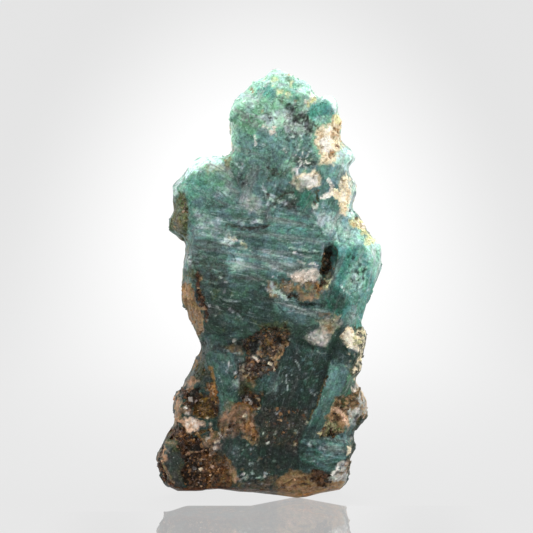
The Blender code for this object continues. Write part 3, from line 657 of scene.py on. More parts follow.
patch("steel", 0.6, 0.6, (-3.0, 47.4), (-0.8, 47.2), (-1.0, 45.2), (-2.6, 45.0))
seam("veil", 0.65, 0.4, (-12.6, 44.6), (-13.1, 43.6), (-12.9, 42.6), ragged=0.3)
seam("veil", 0.5, 0.08, (-4.6, 46.6), (-3.8, 46.0))
seam("tan", 0.4, 0.25, (-6.0, 47.2), (-5.7, 46.6), (-5.6, 46.0))
spots("black", 0.9, 0.15, (-3.9, 45.4), (-3.6, 43.9), (-3.8, 44.6), (-3.9, 45.0), (-3.4, 43.8))
# The white spot at (-4.0, 47.3) is a painted glint.
spots("white", 0.6, 0.1, (-4.0, 47.3), (-3.9, 46.7), (-9.4, 45.6), (-3.0, 44.9))
patch("olive", 0.95, 0.5, (-12.4, 42.8), (-11.6, 42.4), (-10.9, 40.6), (-10.9, 38.4), (-10.5, 36.2),
      (-11.4, 35.8), (-12.4, 36.8), (-14.0, 38.2), (-13.6, 39.6), (-13.2, 41.0), ragged=0.6)
patch("leather", 0.3, 0.7, (-12.8, 39.6), (-11.8, 39.4), (-11.9, 38.0), (-12.8, 38.0))
seam("moss", 0.55, 0.3, (-12.2, 42.6), (-11.8, 41.2), (-11.4, 39.6))
seam("sea", 0.8, 0.28, (-11.2, 42.0), (-10.7, 40.6), (-10.6, 38.8))
seam("ink", 0.85, 0.3, (-11.0, 38.4), (-10.5, 37.0), (-10.2, 35.9), ragged=0.4)
spots("moss", 0.3, 0.8, (-12.2, 40.2))
seam("veil", 0.5, 0.25, (-10.2, 40.2), (-9.9, 39.0), (-10.1, 38.0))

# %% Between the head and the striated plate
patch("slate", 0.65, 0.9, (-1.5, 46.2), (3.0, 46.6), (5.5, 43.0), (6.0, 40.4), (3.0, 40.0), (0.0, 41.0),
      (-2.0, 43.5))
patch("steel", 0.6, 0.8, (-2.6, 45.0), (2.8, 45.2), (3.0, 44.0), (0.0, 42.8), (-3.0, 43.4))
patch("sea", 0.85, 0.4, (3.2, 43.0), (5.8, 42.9), (6.0, 40.4), (4.0, 40.6), (3.1, 41.4), ragged=0.6)
patch("lilac", 0.55, 0.9, (-4.0, 42.2), (-2.4, 42.4), (-0.8, 41.2), (-0.8, 40.4), (-2.8, 40.2), (-3.8, 40.8))
patch("lilac", 0.4, 0.7, (-2.4, 40.4), (0.2, 40.4), (0.0, 39.0), (-2.2, 39.2))
seam("veil", 0.6, 0.25, (-1.0, 43.8), (-0.4, 42.8), (0.2, 41.8))
seam("veil", 0.5, 0.2, (0.2, 42.6), (0.9, 42.0), (1.6, 41.4))
seam("smoke", 0.6, 0.3, (0.6, 42.0), (0.3, 41.0), (-0.4, 40.2), (-0.8, 39.2))
seam("smoke", 0.9, 0.22, (1.0, 42.1), (2.0, 42.8), (3.2, 42.8))
seam("smoke", 0.7, 0.3, (2.2, 41.2), (3.0, 40.6), (3.2, 41.6))
sprinkle("pepper", 0.7, 0.16, 26, (-0.6, 43.4), (3.4, 43.4), (4.2, 40.4), (1.0, 40.2), (-0.6, 41.6))
sprinkle("veil", 0.6, 0.13, 20, (-1.4, 44.2), (3.4, 43.2), (3.4, 40.6), (0.4, 40.2), (-1.4, 42.6))
spots("black", 0.75, 0.12, (1.6, 42.9), (2.4, 42.6), (0.5, 41.2), (1.2, 42.3), (2.9, 41.1), (3.3, 40.6))

# %% The striated plate
patch("steel", 0.9, 0.8, (-11.0, 40.2), (-5.0, 40.8), (0.0, 39.4), (5.0, 38.6), (8.4, 36.6), (7.2, 34.0),
      (7.0, 32.0), (3.0, 31.5), (-6.0, 31.5), (-11.8, 32.6))
patch("veil", 0.25, 0.9, (-10.4, 40.2), (-8.2, 39.6), (-5.6, 37.8), (-7.2, 36.4), (-9.8, 37.4))
patch("slate", 0.5, 0.6, (-5.0, 40.4), (-1.0, 39.6), (0.0, 38.8), (-5.0, 38.8))
patch("deep", 0.6, 0.7, (-5.0, 37.9), (-1.0, 38.0), (0.4, 36.8), (-1.6, 35.8), (-4.0, 36.4))
patch("steel", 0.8, 0.6, (-3.6, 37.4), (1.0, 37.4), (2.0, 36.6), (-1.0, 36.2))
patch("slate", 0.5, 0.7, (0.0, 38.6), (5.0, 38.0), (7.4, 36.8), (3.0, 36.2), (0.4, 36.8))
patch("teal", 0.3, 0.7, (0.4, 38.0), (3.6, 39.6), (5.6, 38.6), (4.8, 36.2), (1.6, 36.6))
patch("slate", 0.6, 0.9, (-11.0, 35.9), (-6.6, 35.7), (-5.8, 34.4), (-6.2, 32.2), (-9.6, 32.4), (-11.0, 33.6))
patch("smoke", 0.55, 0.8, (-11.2, 34.0), (-7.0, 33.6), (-5.8, 32.4), (-5.9, 30.0), (-9.6, 30.2),
      (-11.4, 31.0))
patch("leather", 0.4, 0.6, (-11.8, 36.0), (-11.1, 35.6), (-10.9, 33.6), (-11.6, 33.0))
patch("veil", 0.45, 0.4, (-11.6, 34.6), (-11.0, 34.4), (-10.7, 33.4), (-11.5, 33.0))
patch("aqua", 0.5, 0.6, (-6.0, 34.9), (-3.0, 34.6), (-1.6, 33.4), (-2.4, 32.3), (-5.2, 32.1), (-6.0, 33.2))
patch("veil", 0.4, 0.4, (-5.6, 33.8), (-3.0, 33.4), (-3.2, 32.4), (-5.2, 32.4))
patch("aqua", 0.55, 0.7, (-1.4, 35.6), (2.4, 35.0), (4.0, 33.4), (1.0, 32.4), (-1.4, 33.0))
patch("slate", 0.7, 0.5, (-5.0, 32.2), (0.0, 32.0), (1.6, 31.0), (-1.0, 30.2), (-5.0, 30.8))
patch("veil", 0.95, 0.5, (-6.9, 36.3), (-5.8, 37.2), (-4.6, 36.9), (-3.6, 36.0), (-5.2, 35.6), (-6.6, 35.9))
patch("cream", 0.7, 0.5, (-5.6, 36.8), (-4.4, 36.7), (-3.8, 35.9), (-4.9, 35.9))
spots("butter", 0.5, 0.3, (-3.8, 35.7), (-3.3, 35.5))
# Painted shade and highlight: the smoke and black seams paint the shade in the crevice, and the veil seam at
# (-2.5, 38.7) paints the lit lip above it.
seam("smoke", 0.8, 0.22, (-5.8, 38.2), (-4.4, 38.2), (-2.6, 38.0), (-1.0, 38.2), (-0.1, 38.4), ragged=0.4)
seam("black", 0.8, 0.1, (-4.8, 38.3), (-3.8, 38.3), (-2.4, 38.0), (-1.0, 38.1), (-0.2, 38.4), ragged=0.25)
seam("veil", 1.0, 0.17, (-2.5, 38.7), (-1.8, 38.9), (-1.1, 38.8), ragged=0.15)
seam("veil", 0.6, 0.12, (-7.2, 39.0), (-5.4, 38.9), (-3.4, 38.8))
seam("smoke", 0.5, 0.2, (-0.4, 39.4), (0.0, 38.6))
seam("veil", 0.8, 0.09, (-1.0, 34.9), (0.8, 34.3), (2.4, 33.8), ragged=0.3)
seam("veil", 0.8, 0.09, (3.2, 34.6), (4.2, 34.4), (5.6, 33.9), ragged=0.3)
seam("white", 0.9, 0.09, (3.8, 33.5), (4.6, 33.1), (5.6, 33.1), (6.9, 32.7), ragged=0.3)
seam("veil", 0.75, 0.09, (-1.2, 33.2), (0.4, 32.8), (1.6, 32.2), ragged=0.3)
seam("veil", 0.75, 0.09, (2.6, 35.4), (4.4, 35.0), (6.4, 34.6), ragged=0.3)
seam("veil", 0.65, 0.09, (-4.4, 35.2), (-2.6, 34.9), (-1.2, 34.3), ragged=0.3)
seam("veil", 0.6, 0.08, (1.0, 36.6), (3.0, 36.1), (4.8, 35.8), ragged=0.3)
seam("slate", 0.7, 0.14, (1.6, 34.6), (3.4, 34.0), (5.0, 33.6), (6.6, 33.5), ragged=0.4)
seam("slate", 0.7, 0.14, (2.6, 35.0), (4.6, 34.7), (6.8, 34.2), ragged=0.4)
seam("slate", 0.6, 0.14, (-2.0, 32.8), (0.6, 32.3), (2.8, 32.4), (4.6, 32.7), ragged=0.4)
seam("slate", 0.6, 0.14, (-4.6, 35.6), (-2.0, 35.4), (0.4, 34.9), ragged=0.4)
seam("deep", 0.6, 0.12, (-9.8, 36.2), (-7.0, 35.9), (-4.6, 35.4), ragged=0.4)
# The white spot at (-2.5, 32.4) is a painted glint.
spots("white", 0.95, 0.14, (-2.5, 32.4), (3.4, 34.7), (0.5, 31.6))

# %% The lower left of the plate, and its leathery side
patch("ink", 0.55, 0.7, (-11.4, 32.0), (-6.4, 32.0), (-5.2, 30.6), (-5.6, 28.0), (-4.0, 25.6), (-4.4, 24.0),
      (-8.8, 24.2), (-10.0, 28.0))
patch("deep", 0.85, 0.7, (-6.2, 30.2), (0.6, 29.8), (2.0, 27.0), (2.4, 25.2), (-2.0, 24.0), (-6.6, 23.8),
      (-8.2, 25.6), (-7.0, 28.0))
patch("ink", 0.5, 0.4, (-6.0, 28.0), (-4.6, 28.2), (-3.2, 27.0), (-4.4, 26.4), (-5.8, 27.0))
patch("steel", 0.3, 0.5, (-6.6, 26.6), (-3.6, 26.4), (-2.2, 25.2), (-5.4, 24.6), (-7.0, 25.2))
patch("leaf", 0.25, 0.4, (-5.6, 30.2), (-3.0, 29.8), (-3.4, 28.6), (-5.2, 28.8))
patch("moss", 0.7, 0.6, (-11.9, 32.5), (-9.9, 32.6), (-9.4, 30.9), (-11.9, 30.6))
patch("leather", 1.0, 0.3, (-12.3, 30.7), (-11.0, 30.5), (-10.2, 29.2), (-9.7, 27.6), (-9.1, 25.4),
      (-8.9, 24.2), (-9.7, 23.2), (-10.6, 24.4), (-11.6, 25.8), (-12.3, 28.2), (-12.5, 29.6), ragged=0.5)
patch("tan", 0.4, 0.4, (-12.2, 29.8), (-11.4, 29.8), (-10.6, 28.0), (-11.6, 27.6))
seam("bark", 0.8, 0.3, (-10.0, 31.8), (-9.6, 29.8), (-9.1, 27.8), (-8.6, 25.4))
spots("tan", 0.85, 0.18, (-9.1, 27.0), (-9.6, 31.2))
sprinkle("lilac", 0.6, 0.1, 26, (-9.4, 32.0), (-5.8, 31.0), (-4.2, 26.0), (-5.0, 24.2), (-8.6, 24.2))
sprinkle("olive", 0.6, 0.14, 16, (-9.4, 32.0), (-5.8, 31.0), (-4.2, 26.0), (-5.0, 24.2), (-8.6, 24.2))
spots("lilac", 0.6, 0.12, (-1.9, 22.9), (-0.9, 24.9))
seam("veil", 0.45, 0.07, (-5.6, 27.0), (-4.4, 26.4), (-3.6, 25.8), ragged=0.3)
seam("veil", 0.4, 0.07, (-6.8, 28.6), (-5.6, 28.2), (-4.0, 27.9), ragged=0.3)

# %% The stained feldspar in the plate
patch("tan", 0.6, 0.5, (-0.6, 30.5), (1.5, 30.7), (1.2, 28.6), (0.0, 28.7))
patch("gold", 0.45, 0.5, (1.5, 30.7), (3.2, 30.8), (4.2, 29.9), (3.7, 28.9), (2.2, 28.9), (1.6, 29.6))
patch("blush", 0.95, 0.6, (2.4, 31.8), (3.6, 32.2), (6.4, 32.3), (7.0, 31.4), (5.8, 30.9), (4.6, 30.7),
      (3.4, 31.0), ragged=0.6)
patch("tan", 0.45, 0.5, (2.8, 31.2), (4.6, 31.4), (5.4, 30.8), (4.2, 30.3))
patch("ochre", 0.55, 0.6, (4.9, 30.9), (6.4, 31.0), (7.3, 30.1), (6.7, 29.0), (5.4, 29.1), (4.6, 30.0))
patch("bark", 0.35, 0.5, (5.6, 30.8), (7.2, 30.8), (7.2, 29.2), (5.6, 29.2))
patch("rust", 0.6, 0.4, (6.0, 30.6), (7.3, 30.8), (7.4, 29.6), (6.4, 29.4))
patch("tan", 0.7, 0.5, (4.0, 29.6), (5.4, 29.2), (7.0, 28.8), (5.2, 28.2), (3.8, 28.6))
patch("butter", 0.6, 0.3, (7.5, 31.2), (8.1, 32.2), (8.2, 30.2), (7.9, 29.2), (7.5, 30.0), ragged=0.5)
patch("umber", 0.7, 0.25, (6.9, 31.4), (7.6, 31.2), (7.5, 30.0), (7.0, 30.2))
seam("umber", 0.9, 0.2, (2.0, 28.7), (2.9, 28.8), (3.7, 28.3))
seam("veil", 0.9, 0.3, (0.5, 30.3), (0.9, 29.5), (1.5, 28.9), (2.4, 28.3))
patch("tan", 0.6, 0.5, (2.2, 30.4), (4.0, 30.6), (4.2, 29.4), (2.4, 29.2))
seam("veil", 0.5, 0.12, (-1.0, 29.9), (0.2, 29.3), (0.6, 28.8))
patch("steel", 0.75, 0.5, (0.4, 28.4), (3.4, 28.0), (7.4, 27.4), (8.8, 26.3), (7.2, 25.4), (3.6, 25.6),
      (1.2, 26.4))
seam("ink", 0.85, 0.2, (4.0, 27.8), (5.6, 27.6), (7.2, 27.4), ragged=0.4)
seam("veil", 0.65, 0.08, (2.2, 27.5), (4.6, 27.0), (6.6, 26.9), (8.6, 26.3), ragged=0.3)
seam("veil", 0.5, 0.07, (2.6, 26.7), (5.6, 26.2), ragged=0.3)
seam("slate", 0.6, 0.12, (3.0, 27.1), (5.4, 26.6), (7.6, 26.4), ragged=0.4)
seam("ochre", 0.6, 0.18, (7.0, 26.2), (8.6, 26.3), (9.1, 25.7))
patch("olive", 0.6, 0.3, (-2.2, 25.5), (2.4, 25.5), (3.1, 24.8), (2.6, 23.4), (-1.6, 24.0))
patch("umber", 0.6, 0.3, (-1.8, 24.9), (2.6, 25.0), (2.6, 23.6), (-1.6, 24.0))

# %% The slot beside the bright crystal
patch("moss", 0.6, 0.2, (7.2, 34.8), (8.7, 34.8), (8.4, 33.4), (7.6, 32.2), (7.0, 33.2))
patch("umber", 0.75, 0.2, (7.2, 34.8), (8.7, 34.8), (8.4, 33.4), (8.0, 32.2), (7.8, 31.7), (6.9, 31.7),
      (6.9, 32.6), (7.3, 33.6), ragged=0.3)
patch("smoke", 0.5, 0.15, (7.2, 34.4), (7.4, 35.4), (8.1, 36.1), (8.8, 35.5), (8.8, 34.7), (8.3, 34.1),
      ragged=0.25)
spots("black", 0.8, 0.24, (7.9, 33.6), (7.4, 32.7), (7.8, 33.2), (8.1, 33.9))
spots("leather", 0.7, 0.14, (7.5, 34.2), (7.6, 33.7), (7.6, 32.3), (7.2, 33.0))
spots("lilac", 0.7, 0.12, (7.5, 31.9), (7.2, 31.7), (7.7, 32.2), (7.6, 33.1))
spots("rust", 0.9, 0.18, (8.8, 34.2))
seam("veil", 0.6, 0.1, (7.1, 34.4), (7.2, 35.4), ragged=0.2)

# %% The bright crystal
patch("teal", 1.0, 0.3, (8.7, 36.4), (12.0, 39.0), (15.9, 36.4), (15.8, 33.4), (14.0, 28.6), (12.4, 24.8),
      (10.4, 24.6), (9.4, 25.6), (8.2, 27.6), (8.4, 30.4), (8.9, 33.4))
patch("aqua", 0.9, 0.5, (5.8, 40.0), (9.6, 40.2), (11.0, 39.6), (13.4, 37.4), (12.4, 35.4), (9.2, 35.4),
      (8.4, 37.0), (6.6, 38.0))
patch("mint", 0.55, 0.6, (9.0, 38.6), (12.0, 38.6), (13.0, 36.6), (10.6, 35.8), (9.0, 37.0))
patch("veil", 0.5, 0.5, (6.0, 39.6), (9.0, 39.8), (10.0, 38.6), (8.0, 37.4), (6.2, 38.2))
# Painted light: the glow patch, specks and seams on this crystal paint its lit top and right edges and bright
# points.
patch("glow", 0.75, 0.4, (10.2, 40.8), (11.0, 41.2), (12.2, 39.9), (11.6, 39.3), (10.4, 39.8))
sprinkle("steel", 0.6, 0.16, 34, (6.2, 39.6), (10.6, 39.6), (12.6, 36.6), (9.2, 35.8))
sprinkle("glow", 0.6, 0.13, 34, (6.2, 39.6), (10.8, 40.6), (12.6, 36.8), (9.2, 35.8))
patch("mint", 0.75, 0.7, (12.8, 35.8), (14.2, 36.8), (15.6, 35.8), (15.6, 33.4), (14.6, 31.2), (13.4, 32.4))
seam("glow", 0.8, 0.35, (14.2, 36.4), (15.4, 35.4), (15.5, 34.2), (15.1, 32.6), ragged=0.3)
patch("sea", 1.0, 0.7, (8.2, 30.4), (9.8, 30.0), (10.6, 27.8), (9.6, 26.0), (7.9, 26.8), (7.4, 28.2),
      ragged=0.6)
patch("deep", 0.7, 0.7, (8.2, 29.8), (9.8, 29.2), (10.0, 27.4), (8.2, 27.2))
patch("sea", 0.45, 0.6, (8.9, 33.8), (10.2, 33.9), (10.5, 32.0), (9.6, 30.6), (8.6, 31.0))
patch("mint", 0.4, 0.5, (10.8, 33.6), (12.6, 33.6), (13.6, 31.4), (12.6, 29.2), (11.0, 29.2), (10.2, 30.4))
patch("veil", 0.5, 0.4, (11.0, 31.8), (12.2, 31.8), (12.2, 30.4), (11.0, 30.6))
patch("aqua", 0.15, 0.5, (10.8, 29.2), (13.6, 30.8), (13.8, 28.6), (12.6, 25.4), (10.6, 25.4))
sprinkle("deep", 0.85, 0.15, 44, (10.2, 34.2), (11.8, 34.6), (13.4, 32.0), (13.2, 30.2), (11.0, 29.8))
sprinkle("glow", 0.6, 0.1, 24, (10.2, 34.2), (12.8, 34.0), (13.6, 30.0), (12.6, 26.0), (10.6, 28.0))
sprinkle("leaf", 0.6, 0.16, 24, (11.0, 29.4), (13.4, 30.8), (12.8, 26.4), (11.4, 25.6))
seam("deep", 0.7, 0.12, (11.3, 34.0), (12.2, 33.1), (12.7, 32.0), (12.8, 30.8), ragged=0.4)
seam("deep", 0.6, 0.12, (11.0, 32.0), (11.5, 30.8), (11.8, 29.9), ragged=0.4)
seam("glow", 0.75, 0.12, (9.8, 30.2), (10.2, 29.4), (10.8, 29.0), ragged=0.3)
seam("veil", 0.6, 0.16, (11.4, 26.4), (12.0, 25.8), (12.5, 25.6))
patch("butter", 0.8, 0.4, (10.9, 39.3), (12.6, 39.4), (13.4, 38.2), (14.8, 36.4), (13.8, 36.2), (12.4, 37.7),
      (11.2, 38.2))
patch("blush", 0.8, 0.3, (12.0, 39.0), (13.0, 38.6), (13.0, 38.0), (12.1, 38.0))
patch("butter", 0.7, 0.4, (13.2, 36.8), (14.0, 36.6), (14.2, 35.6), (13.4, 35.8))
spots("ochre", 0.7, 0.24, (11.4, 38.5), (11.8, 38.2), (12.0, 39.2))
spots("umber", 0.7, 0.16, (12.4, 39.1), (12.0, 39.6), (11.0, 40.5))

# %% The feldspar at the waist
patch("blush", 0.5, 0.5, (5.3, 24.0), (6.7, 24.4), (8.3, 24.2), (8.2, 22.8), (7.8, 22.0), (6.0, 21.9),
      (5.1, 22.8), ragged=0.7)
patch("cream", 0.4, 0.4, (6.6, 25.4), (8.2, 25.9), (9.3, 26.0), (9.0, 24.8), (8.4, 24.0), (6.6, 24.2))
patch("olive", 0.35, 0.4, (6.6, 25.7), (8.9, 26.0), (8.8, 24.4), (6.8, 24.4))
patch("ochre", 0.5, 0.4, (7.6, 25.0), (8.8, 25.4), (8.4, 24.2), (7.6, 24.0))
patch("white", 0.35, 0.4, (6.2, 23.4), (7.6, 23.2), (7.6, 22.5), (6.2, 22.4))
spots("lilac", 0.7, 0.3, (5.4, 23.6), (6.2, 23.2), (5.7, 23.0))
patch("deep", 1.0, 0.25, (9.5, 24.8), (9.7, 23.4), (9.0, 21.7), (8.2, 21.1), (7.8, 21.7), (8.4, 23.6),
      ragged=0.4)
patch("cream", 1.0, 0.2, (10.4, 24.7), (11.2, 24.5), (11.9, 22.8), (12.3, 20.9), (11.8, 21.2), (10.6, 21.8),
      (9.7, 22.8), (9.5, 23.4), ragged=0.3)
patch("white", 0.5, 0.3, (10.0, 23.8), (11.0, 24.2), (11.8, 22.4), (12.1, 21.0), (10.8, 21.8), (9.8, 22.9),
      ragged=0.1)
spots("tan", 0.12, 0.7, (7.2, 24.0))
patch("tan", 0.3, 0.2, (10.4, 24.7), (11.1, 24.6), (11.4, 23.8), (10.8, 23.7), ragged=0.3)
patch("olive", 0.9, 0.25, (11.5, 25.2), (13.0, 25.2), (13.2, 23.0), (12.9, 21.0), (12.6, 19.0), (12.0, 16.6),
      (10.9, 17.4), (11.4, 19.6), (12.3, 20.9), (11.9, 22.8))
patch("butter", 0.5, 0.3, (11.9, 24.0), (12.8, 24.2), (13.0, 22.6), (12.7, 21.0), (12.2, 21.4), (11.8, 22.8))
sprinkle("cream", 0.85, 0.15, 70, (11.7, 24.8), (13.0, 25.0), (13.1, 21.6), (12.6, 19.0), (12.0, 17.4),
         (11.4, 18.0), (12.4, 20.8), (12.0, 22.8))
sprinkle("black", 0.85, 0.11, 34, (11.7, 25.0), (13.0, 25.2), (13.1, 21.6), (12.6, 19.0), (12.0, 17.4),
         (11.4, 18.0), (12.4, 20.8), (12.0, 22.8))
patch("steel", 0.5, 0.4, (9.0, 21.2), (10.6, 21.4), (11.6, 20.2), (11.0, 19.0), (9.8, 19.4))
spots("cream", 0.8, 0.14, (10.6, 20.8), (11.4, 20.6), (10.4, 19.2), (11.9, 20.2), (11.0, 20.0))

# %% The mica pocket
patch("umber", 0.8, 0.35, (-3.7, 22.2), (-2.0, 23.6), (2.6, 23.8), (2.6, 22.4), (1.4, 20.2), (0.8, 18.8),
      (-0.4, 18.0), (-1.4, 17.4), (-3.4, 16.8), (-4.3, 17.8), (-3.8, 19.4), (-3.0, 20.6))
patch("black", 1.0, 0.25, (-2.5, 22.9), (-1.2, 22.8), (-1.2, 20.4), (-2.1, 20.2), (-2.6, 21.4), ragged=0.6)
patch("bark", 0.9, 0.3, (-3.2, 20.3), (-1.8, 20.0), (-1.8, 18.6), (-3.2, 18.4), ragged=0.6)
patch("black", 0.8, 0.3, (-1.0, 21.2), (0.0, 21.0), (0.0, 18.8), (-0.9, 18.6), ragged=0.6)
seam("tan", 0.9, 0.12, (-1.2, 22.7), (-1.5, 20.8), ragged=0.35)
seam("leather", 0.9, 0.12, (-0.2, 22.9), (-0.1, 20.6), ragged=0.35)
seam("leather", 0.8, 0.1, (-0.7, 23.0), (-0.9, 21.4), ragged=0.35)
seam("ochre", 0.85, 0.2, (-0.4, 22.6), (0.4, 22.6), ragged=0.4)
seam("tan", 0.8, 0.1, (0.6, 22.4), (0.3, 20.6), ragged=0.35)
patch("tan", 0.95, 0.25, (1.0, 22.2), (1.8, 22.3), (1.9, 21.0), (1.2, 20.2), (0.5, 19.4), (0.6, 20.4),
      (1.0, 21.2), ragged=0.5)
seam("cream", 0.95, 0.16, (0.0, 19.6), (0.4, 18.7), ragged=0.3)
seam("tan", 0.8, 0.14, (0.5, 20.2), (1.2, 20.6), (1.8, 20.9), ragged=0.3)
seam("lilac", 0.6, 0.08, (2.7, 23.0), (2.3, 22.2), (1.9, 21.4), ragged=0.3)
# Painted highlight: the shell and white seams paint a pink-white glint in the pocket.
seam("shell", 1.0, 0.24, (-2.3, 20.4), (-1.6, 19.9), ragged=0.3)
seam("white", 0.9, 0.1, (-2.2, 20.4), (-1.8, 20.1), ragged=0.2)
spots("cream", 0.9, 0.17, (-3.4, 19.3), (-3.0, 18.7), (-2.8, 18.4), (-3.6, 18.6), (-3.4, 17.6))
patch("leather", 0.7, 0.4, (-3.9, 18.2), (-2.0, 17.9), (-2.0, 16.8), (-3.8, 16.6))
sprinkle("tan", 0.85, 0.12, 26, (-3.8, 22.2), (-2.6, 23.2), (2.4, 23.4), (1.4, 20.2), (0.4, 18.4),
         (-3.6, 16.8))
sprinkle("black", 0.85, 0.14, 22, (-3.8, 22.2), (-2.6, 23.4), (2.4, 23.6), (1.4, 20.2), (0.4, 18.4),
         (-3.8, 16.8))
patch("lilac", 0.04, 0.5, (-3.8, 22.2), (-2.6, 23.4), (2.4, 23.6), (1.4, 20.2), (0.4, 18.4), (-3.8, 16.8))
spots("gold", 0.9, 0.24, (-2.8, 17.3), (-3.4, 17.0), (-2.2, 17.6))
patch("olive", 0.75, 0.5, (-4.9, 16.7), (-3.2, 17.2), (-2.2, 16.4), (-3.2, 15.2), (-4.7, 15.2))
patch("veil", 0.8, 0.35, (-5.0, 17.2), (-4.2, 17.3), (-4.1, 16.5), (-4.8, 16.3), ragged=0.6)
patch("moss", 0.8, 0.35, (-3.6, 16.2), (-1.8, 16.3), (-1.9, 15.1), (-3.5, 15.1))
patch("umber", 0.8, 0.35, (-4.0, 15.2), (-2.0, 15.8), (-1.0, 14.6), (-1.4, 13.6), (-3.6, 13.8))
patch("gold", 0.9, 0.25, (-1.4, 15.9), (-0.8, 15.8), (-0.7, 15.0), (-1.3, 15.0), ragged=0.5)
seam("white", 0.8, 0.08, (-3.9, 14.9), (-3.3, 14.1), ragged=0.2)
seam("white", 0.7, 0.08, (-3.2, 15.0), (-2.4, 14.2), ragged=0.2)
seam("tan", 0.9, 0.11, (-1.8, 14.9), (-1.2, 13.9), ragged=0.3)
seam("black", 0.9, 0.18, (-2.4, 14.9), (-1.6, 14.1), ragged=0.4)
seam("black", 0.7, 0.12, (-3.6, 15.2), (-3.0, 14.4), ragged=0.4)
patch("rust", 0.7, 0.5, (-4.8, 14.0), (-3.0, 14.2), (-2.0, 13.6), (-2.6, 13.0), (-4.6, 13.0))

# %% The tongue and the crystals at its sides
patch("ink", 0.7, 0.4, (-10.4, 22.6), (-3.4, 23.2), (-3.6, 21.6), (-8.4, 20.0), (-8.2, 17.8), (-9.2, 16.8),
      (-10.8, 18.0))
patch("moss", 0.5, 0.5, (-10.0, 20.6), (-8.6, 20.4), (-8.4, 18.0), (-10.0, 17.6))
patch("steel", 0.5, 0.6, (-9.0, 23.6), (-4.6, 24.0), (-4.0, 22.6), (-8.6, 22.0))
patch("steel", 0.45, 0.7, (-8.8, 21.4), (-4.0, 21.6), (-3.6, 19.4), (-4.1, 17.0), (-4.7, 15.4), (-5.0, 13.2),
      (-6.6, 12.6), (-7.2, 15.0), (-7.6, 17.6), (-8.8, 19.6), ragged=0.5)
patch("deep", 0.45, 0.4, (-6.8, 17.2), (-5.0, 17.4), (-5.0, 15.6), (-6.6, 15.4))
patch("leaf", 0.45, 0.4, (-6.8, 14.9), (-5.0, 14.8), (-5.2, 13.0), (-6.4, 12.8))
patch("leather", 0.4, 0.4, (-6.2, 14.2), (-4.8, 14.4), (-4.8, 13.2), (-6.2, 13.2))
patch("tan", 0.45, 0.4, (-6.2, 22.2), (-4.0, 22.0), (-3.8, 21.0), (-5.6, 20.8))
seam("veil", 0.8, 0.1, (-4.8, 21.0), (-4.1, 21.1), ragged=0.2)
spots("white", 0.8, 0.13, (-4.6, 22.5), (-5.6, 19.4), (-4.6, 18.2))
sprinkle("veil", 0.5, 0.09, 24, (-8.4, 21.4), (-4.0, 21.6), (-4.4, 15.4), (-6.8, 15.0), (-7.8, 18.0))
sprinkle("ink", 0.6, 0.14, 20, (-8.4, 21.4), (-4.0, 21.6), (-4.4, 15.4), (-6.8, 15.0), (-7.8, 18.0))
patch("rust", 0.85, 0.3, (-8.8, 17.2), (-7.6, 17.2), (-7.0, 14.6), (-7.8, 14.1), (-8.6, 15.2), (-8.9, 16.4))
patch("rust", 0.15, 0.3, (-8.8, 17.2), (-7.6, 17.2), (-7.0, 14.6), (-7.8, 14.1), (-8.9, 16.4))
seam("ochre", 0.9, 0.22, (-8.1, 19.2), (-7.8, 17.6), (-7.6, 16.2), ragged=0.4)
seam("ochre", 0.85, 0.16, (-10.4, 18.6), (-10.1, 19.6), (-9.8, 20.6), (-9.7, 21.6), ragged=0.3)
patch("gold", 0.9, 0.4, (-9.8, 15.2), (-7.2, 14.8), (-7.0, 12.8), (-8.4, 12.0), (-10.3, 12.2), (-10.0, 13.6),
      ragged=0.6)
patch("bark", 0.85, 0.4, (-8.6, 14.2), (-7.0, 14.0), (-7.0, 12.8), (-8.2, 12.8))
seam("gold", 0.9, 0.1, (-9.8, 13.4), (-9.0, 12.8), (-8.3, 12.6), ragged=0.3)
seam("tan", 0.8, 0.08, (-8.6, 14.8), (-7.9, 14.3), (-7.2, 13.8), ragged=0.3)
seam("tan", 0.7, 0.07, (-9.4, 13.6), (-8.8, 13.2), (-8.4, 13.5), ragged=0.3)
spots("umber", 0.9, 0.24, (-9.4, 12.8), (-7.4, 16.6))
sprinkle("black", 0.85, 0.14, 30, (-10.0, 15.2), (-7.2, 14.8), (-7.0, 12.8), (-10.0, 12.2))
spots("cream", 0.9, 0.13, (-8.6, 12.1), (-8.3, 11.2), (-9.3, 14.4), (-7.7, 15.4))
patch("umber", 1.0, 0.4, (-12.1, 16.4), (-9.2, 16.4), (-9.0, 15.0), (-9.8, 13.4), (-10.8, 12.6),
      (-11.9, 13.6))
patch("black", 0.9, 0.4, (-11.6, 16.2), (-9.4, 16.2), (-9.4, 14.6), (-11.4, 14.4))
patch("mauve", 0.45, 0.35, (-11.9, 13.6), (-10.4, 13.4), (-10.4, 12.4), (-11.8, 12.3))
patch("mauve", 0.6, 0.4, (-11.6, 17.7), (-9.8, 17.7), (-10.2, 16.4), (-11.5, 16.2))
seam("black", 0.9, 0.2, (-12.6, 14.9), (-12.1, 16.2), (-11.5, 17.3), ragged=0.4)
spots("white", 0.95, 0.22, (-11.4, 13.5))
spots("blush", 0.7, 0.18, (-11.3, 12.6), (-10.9, 14.6))
patch("mauve", 0.75, 0.4, (-13.3, 14.9), (-12.3, 15.0), (-12.0, 13.0), (-12.2, 11.4), (-13.6, 12.0))
patch("tan", 0.5, 0.3, (-13.4, 14.4), (-12.8, 14.6), (-12.7, 12.0), (-13.4, 12.2))

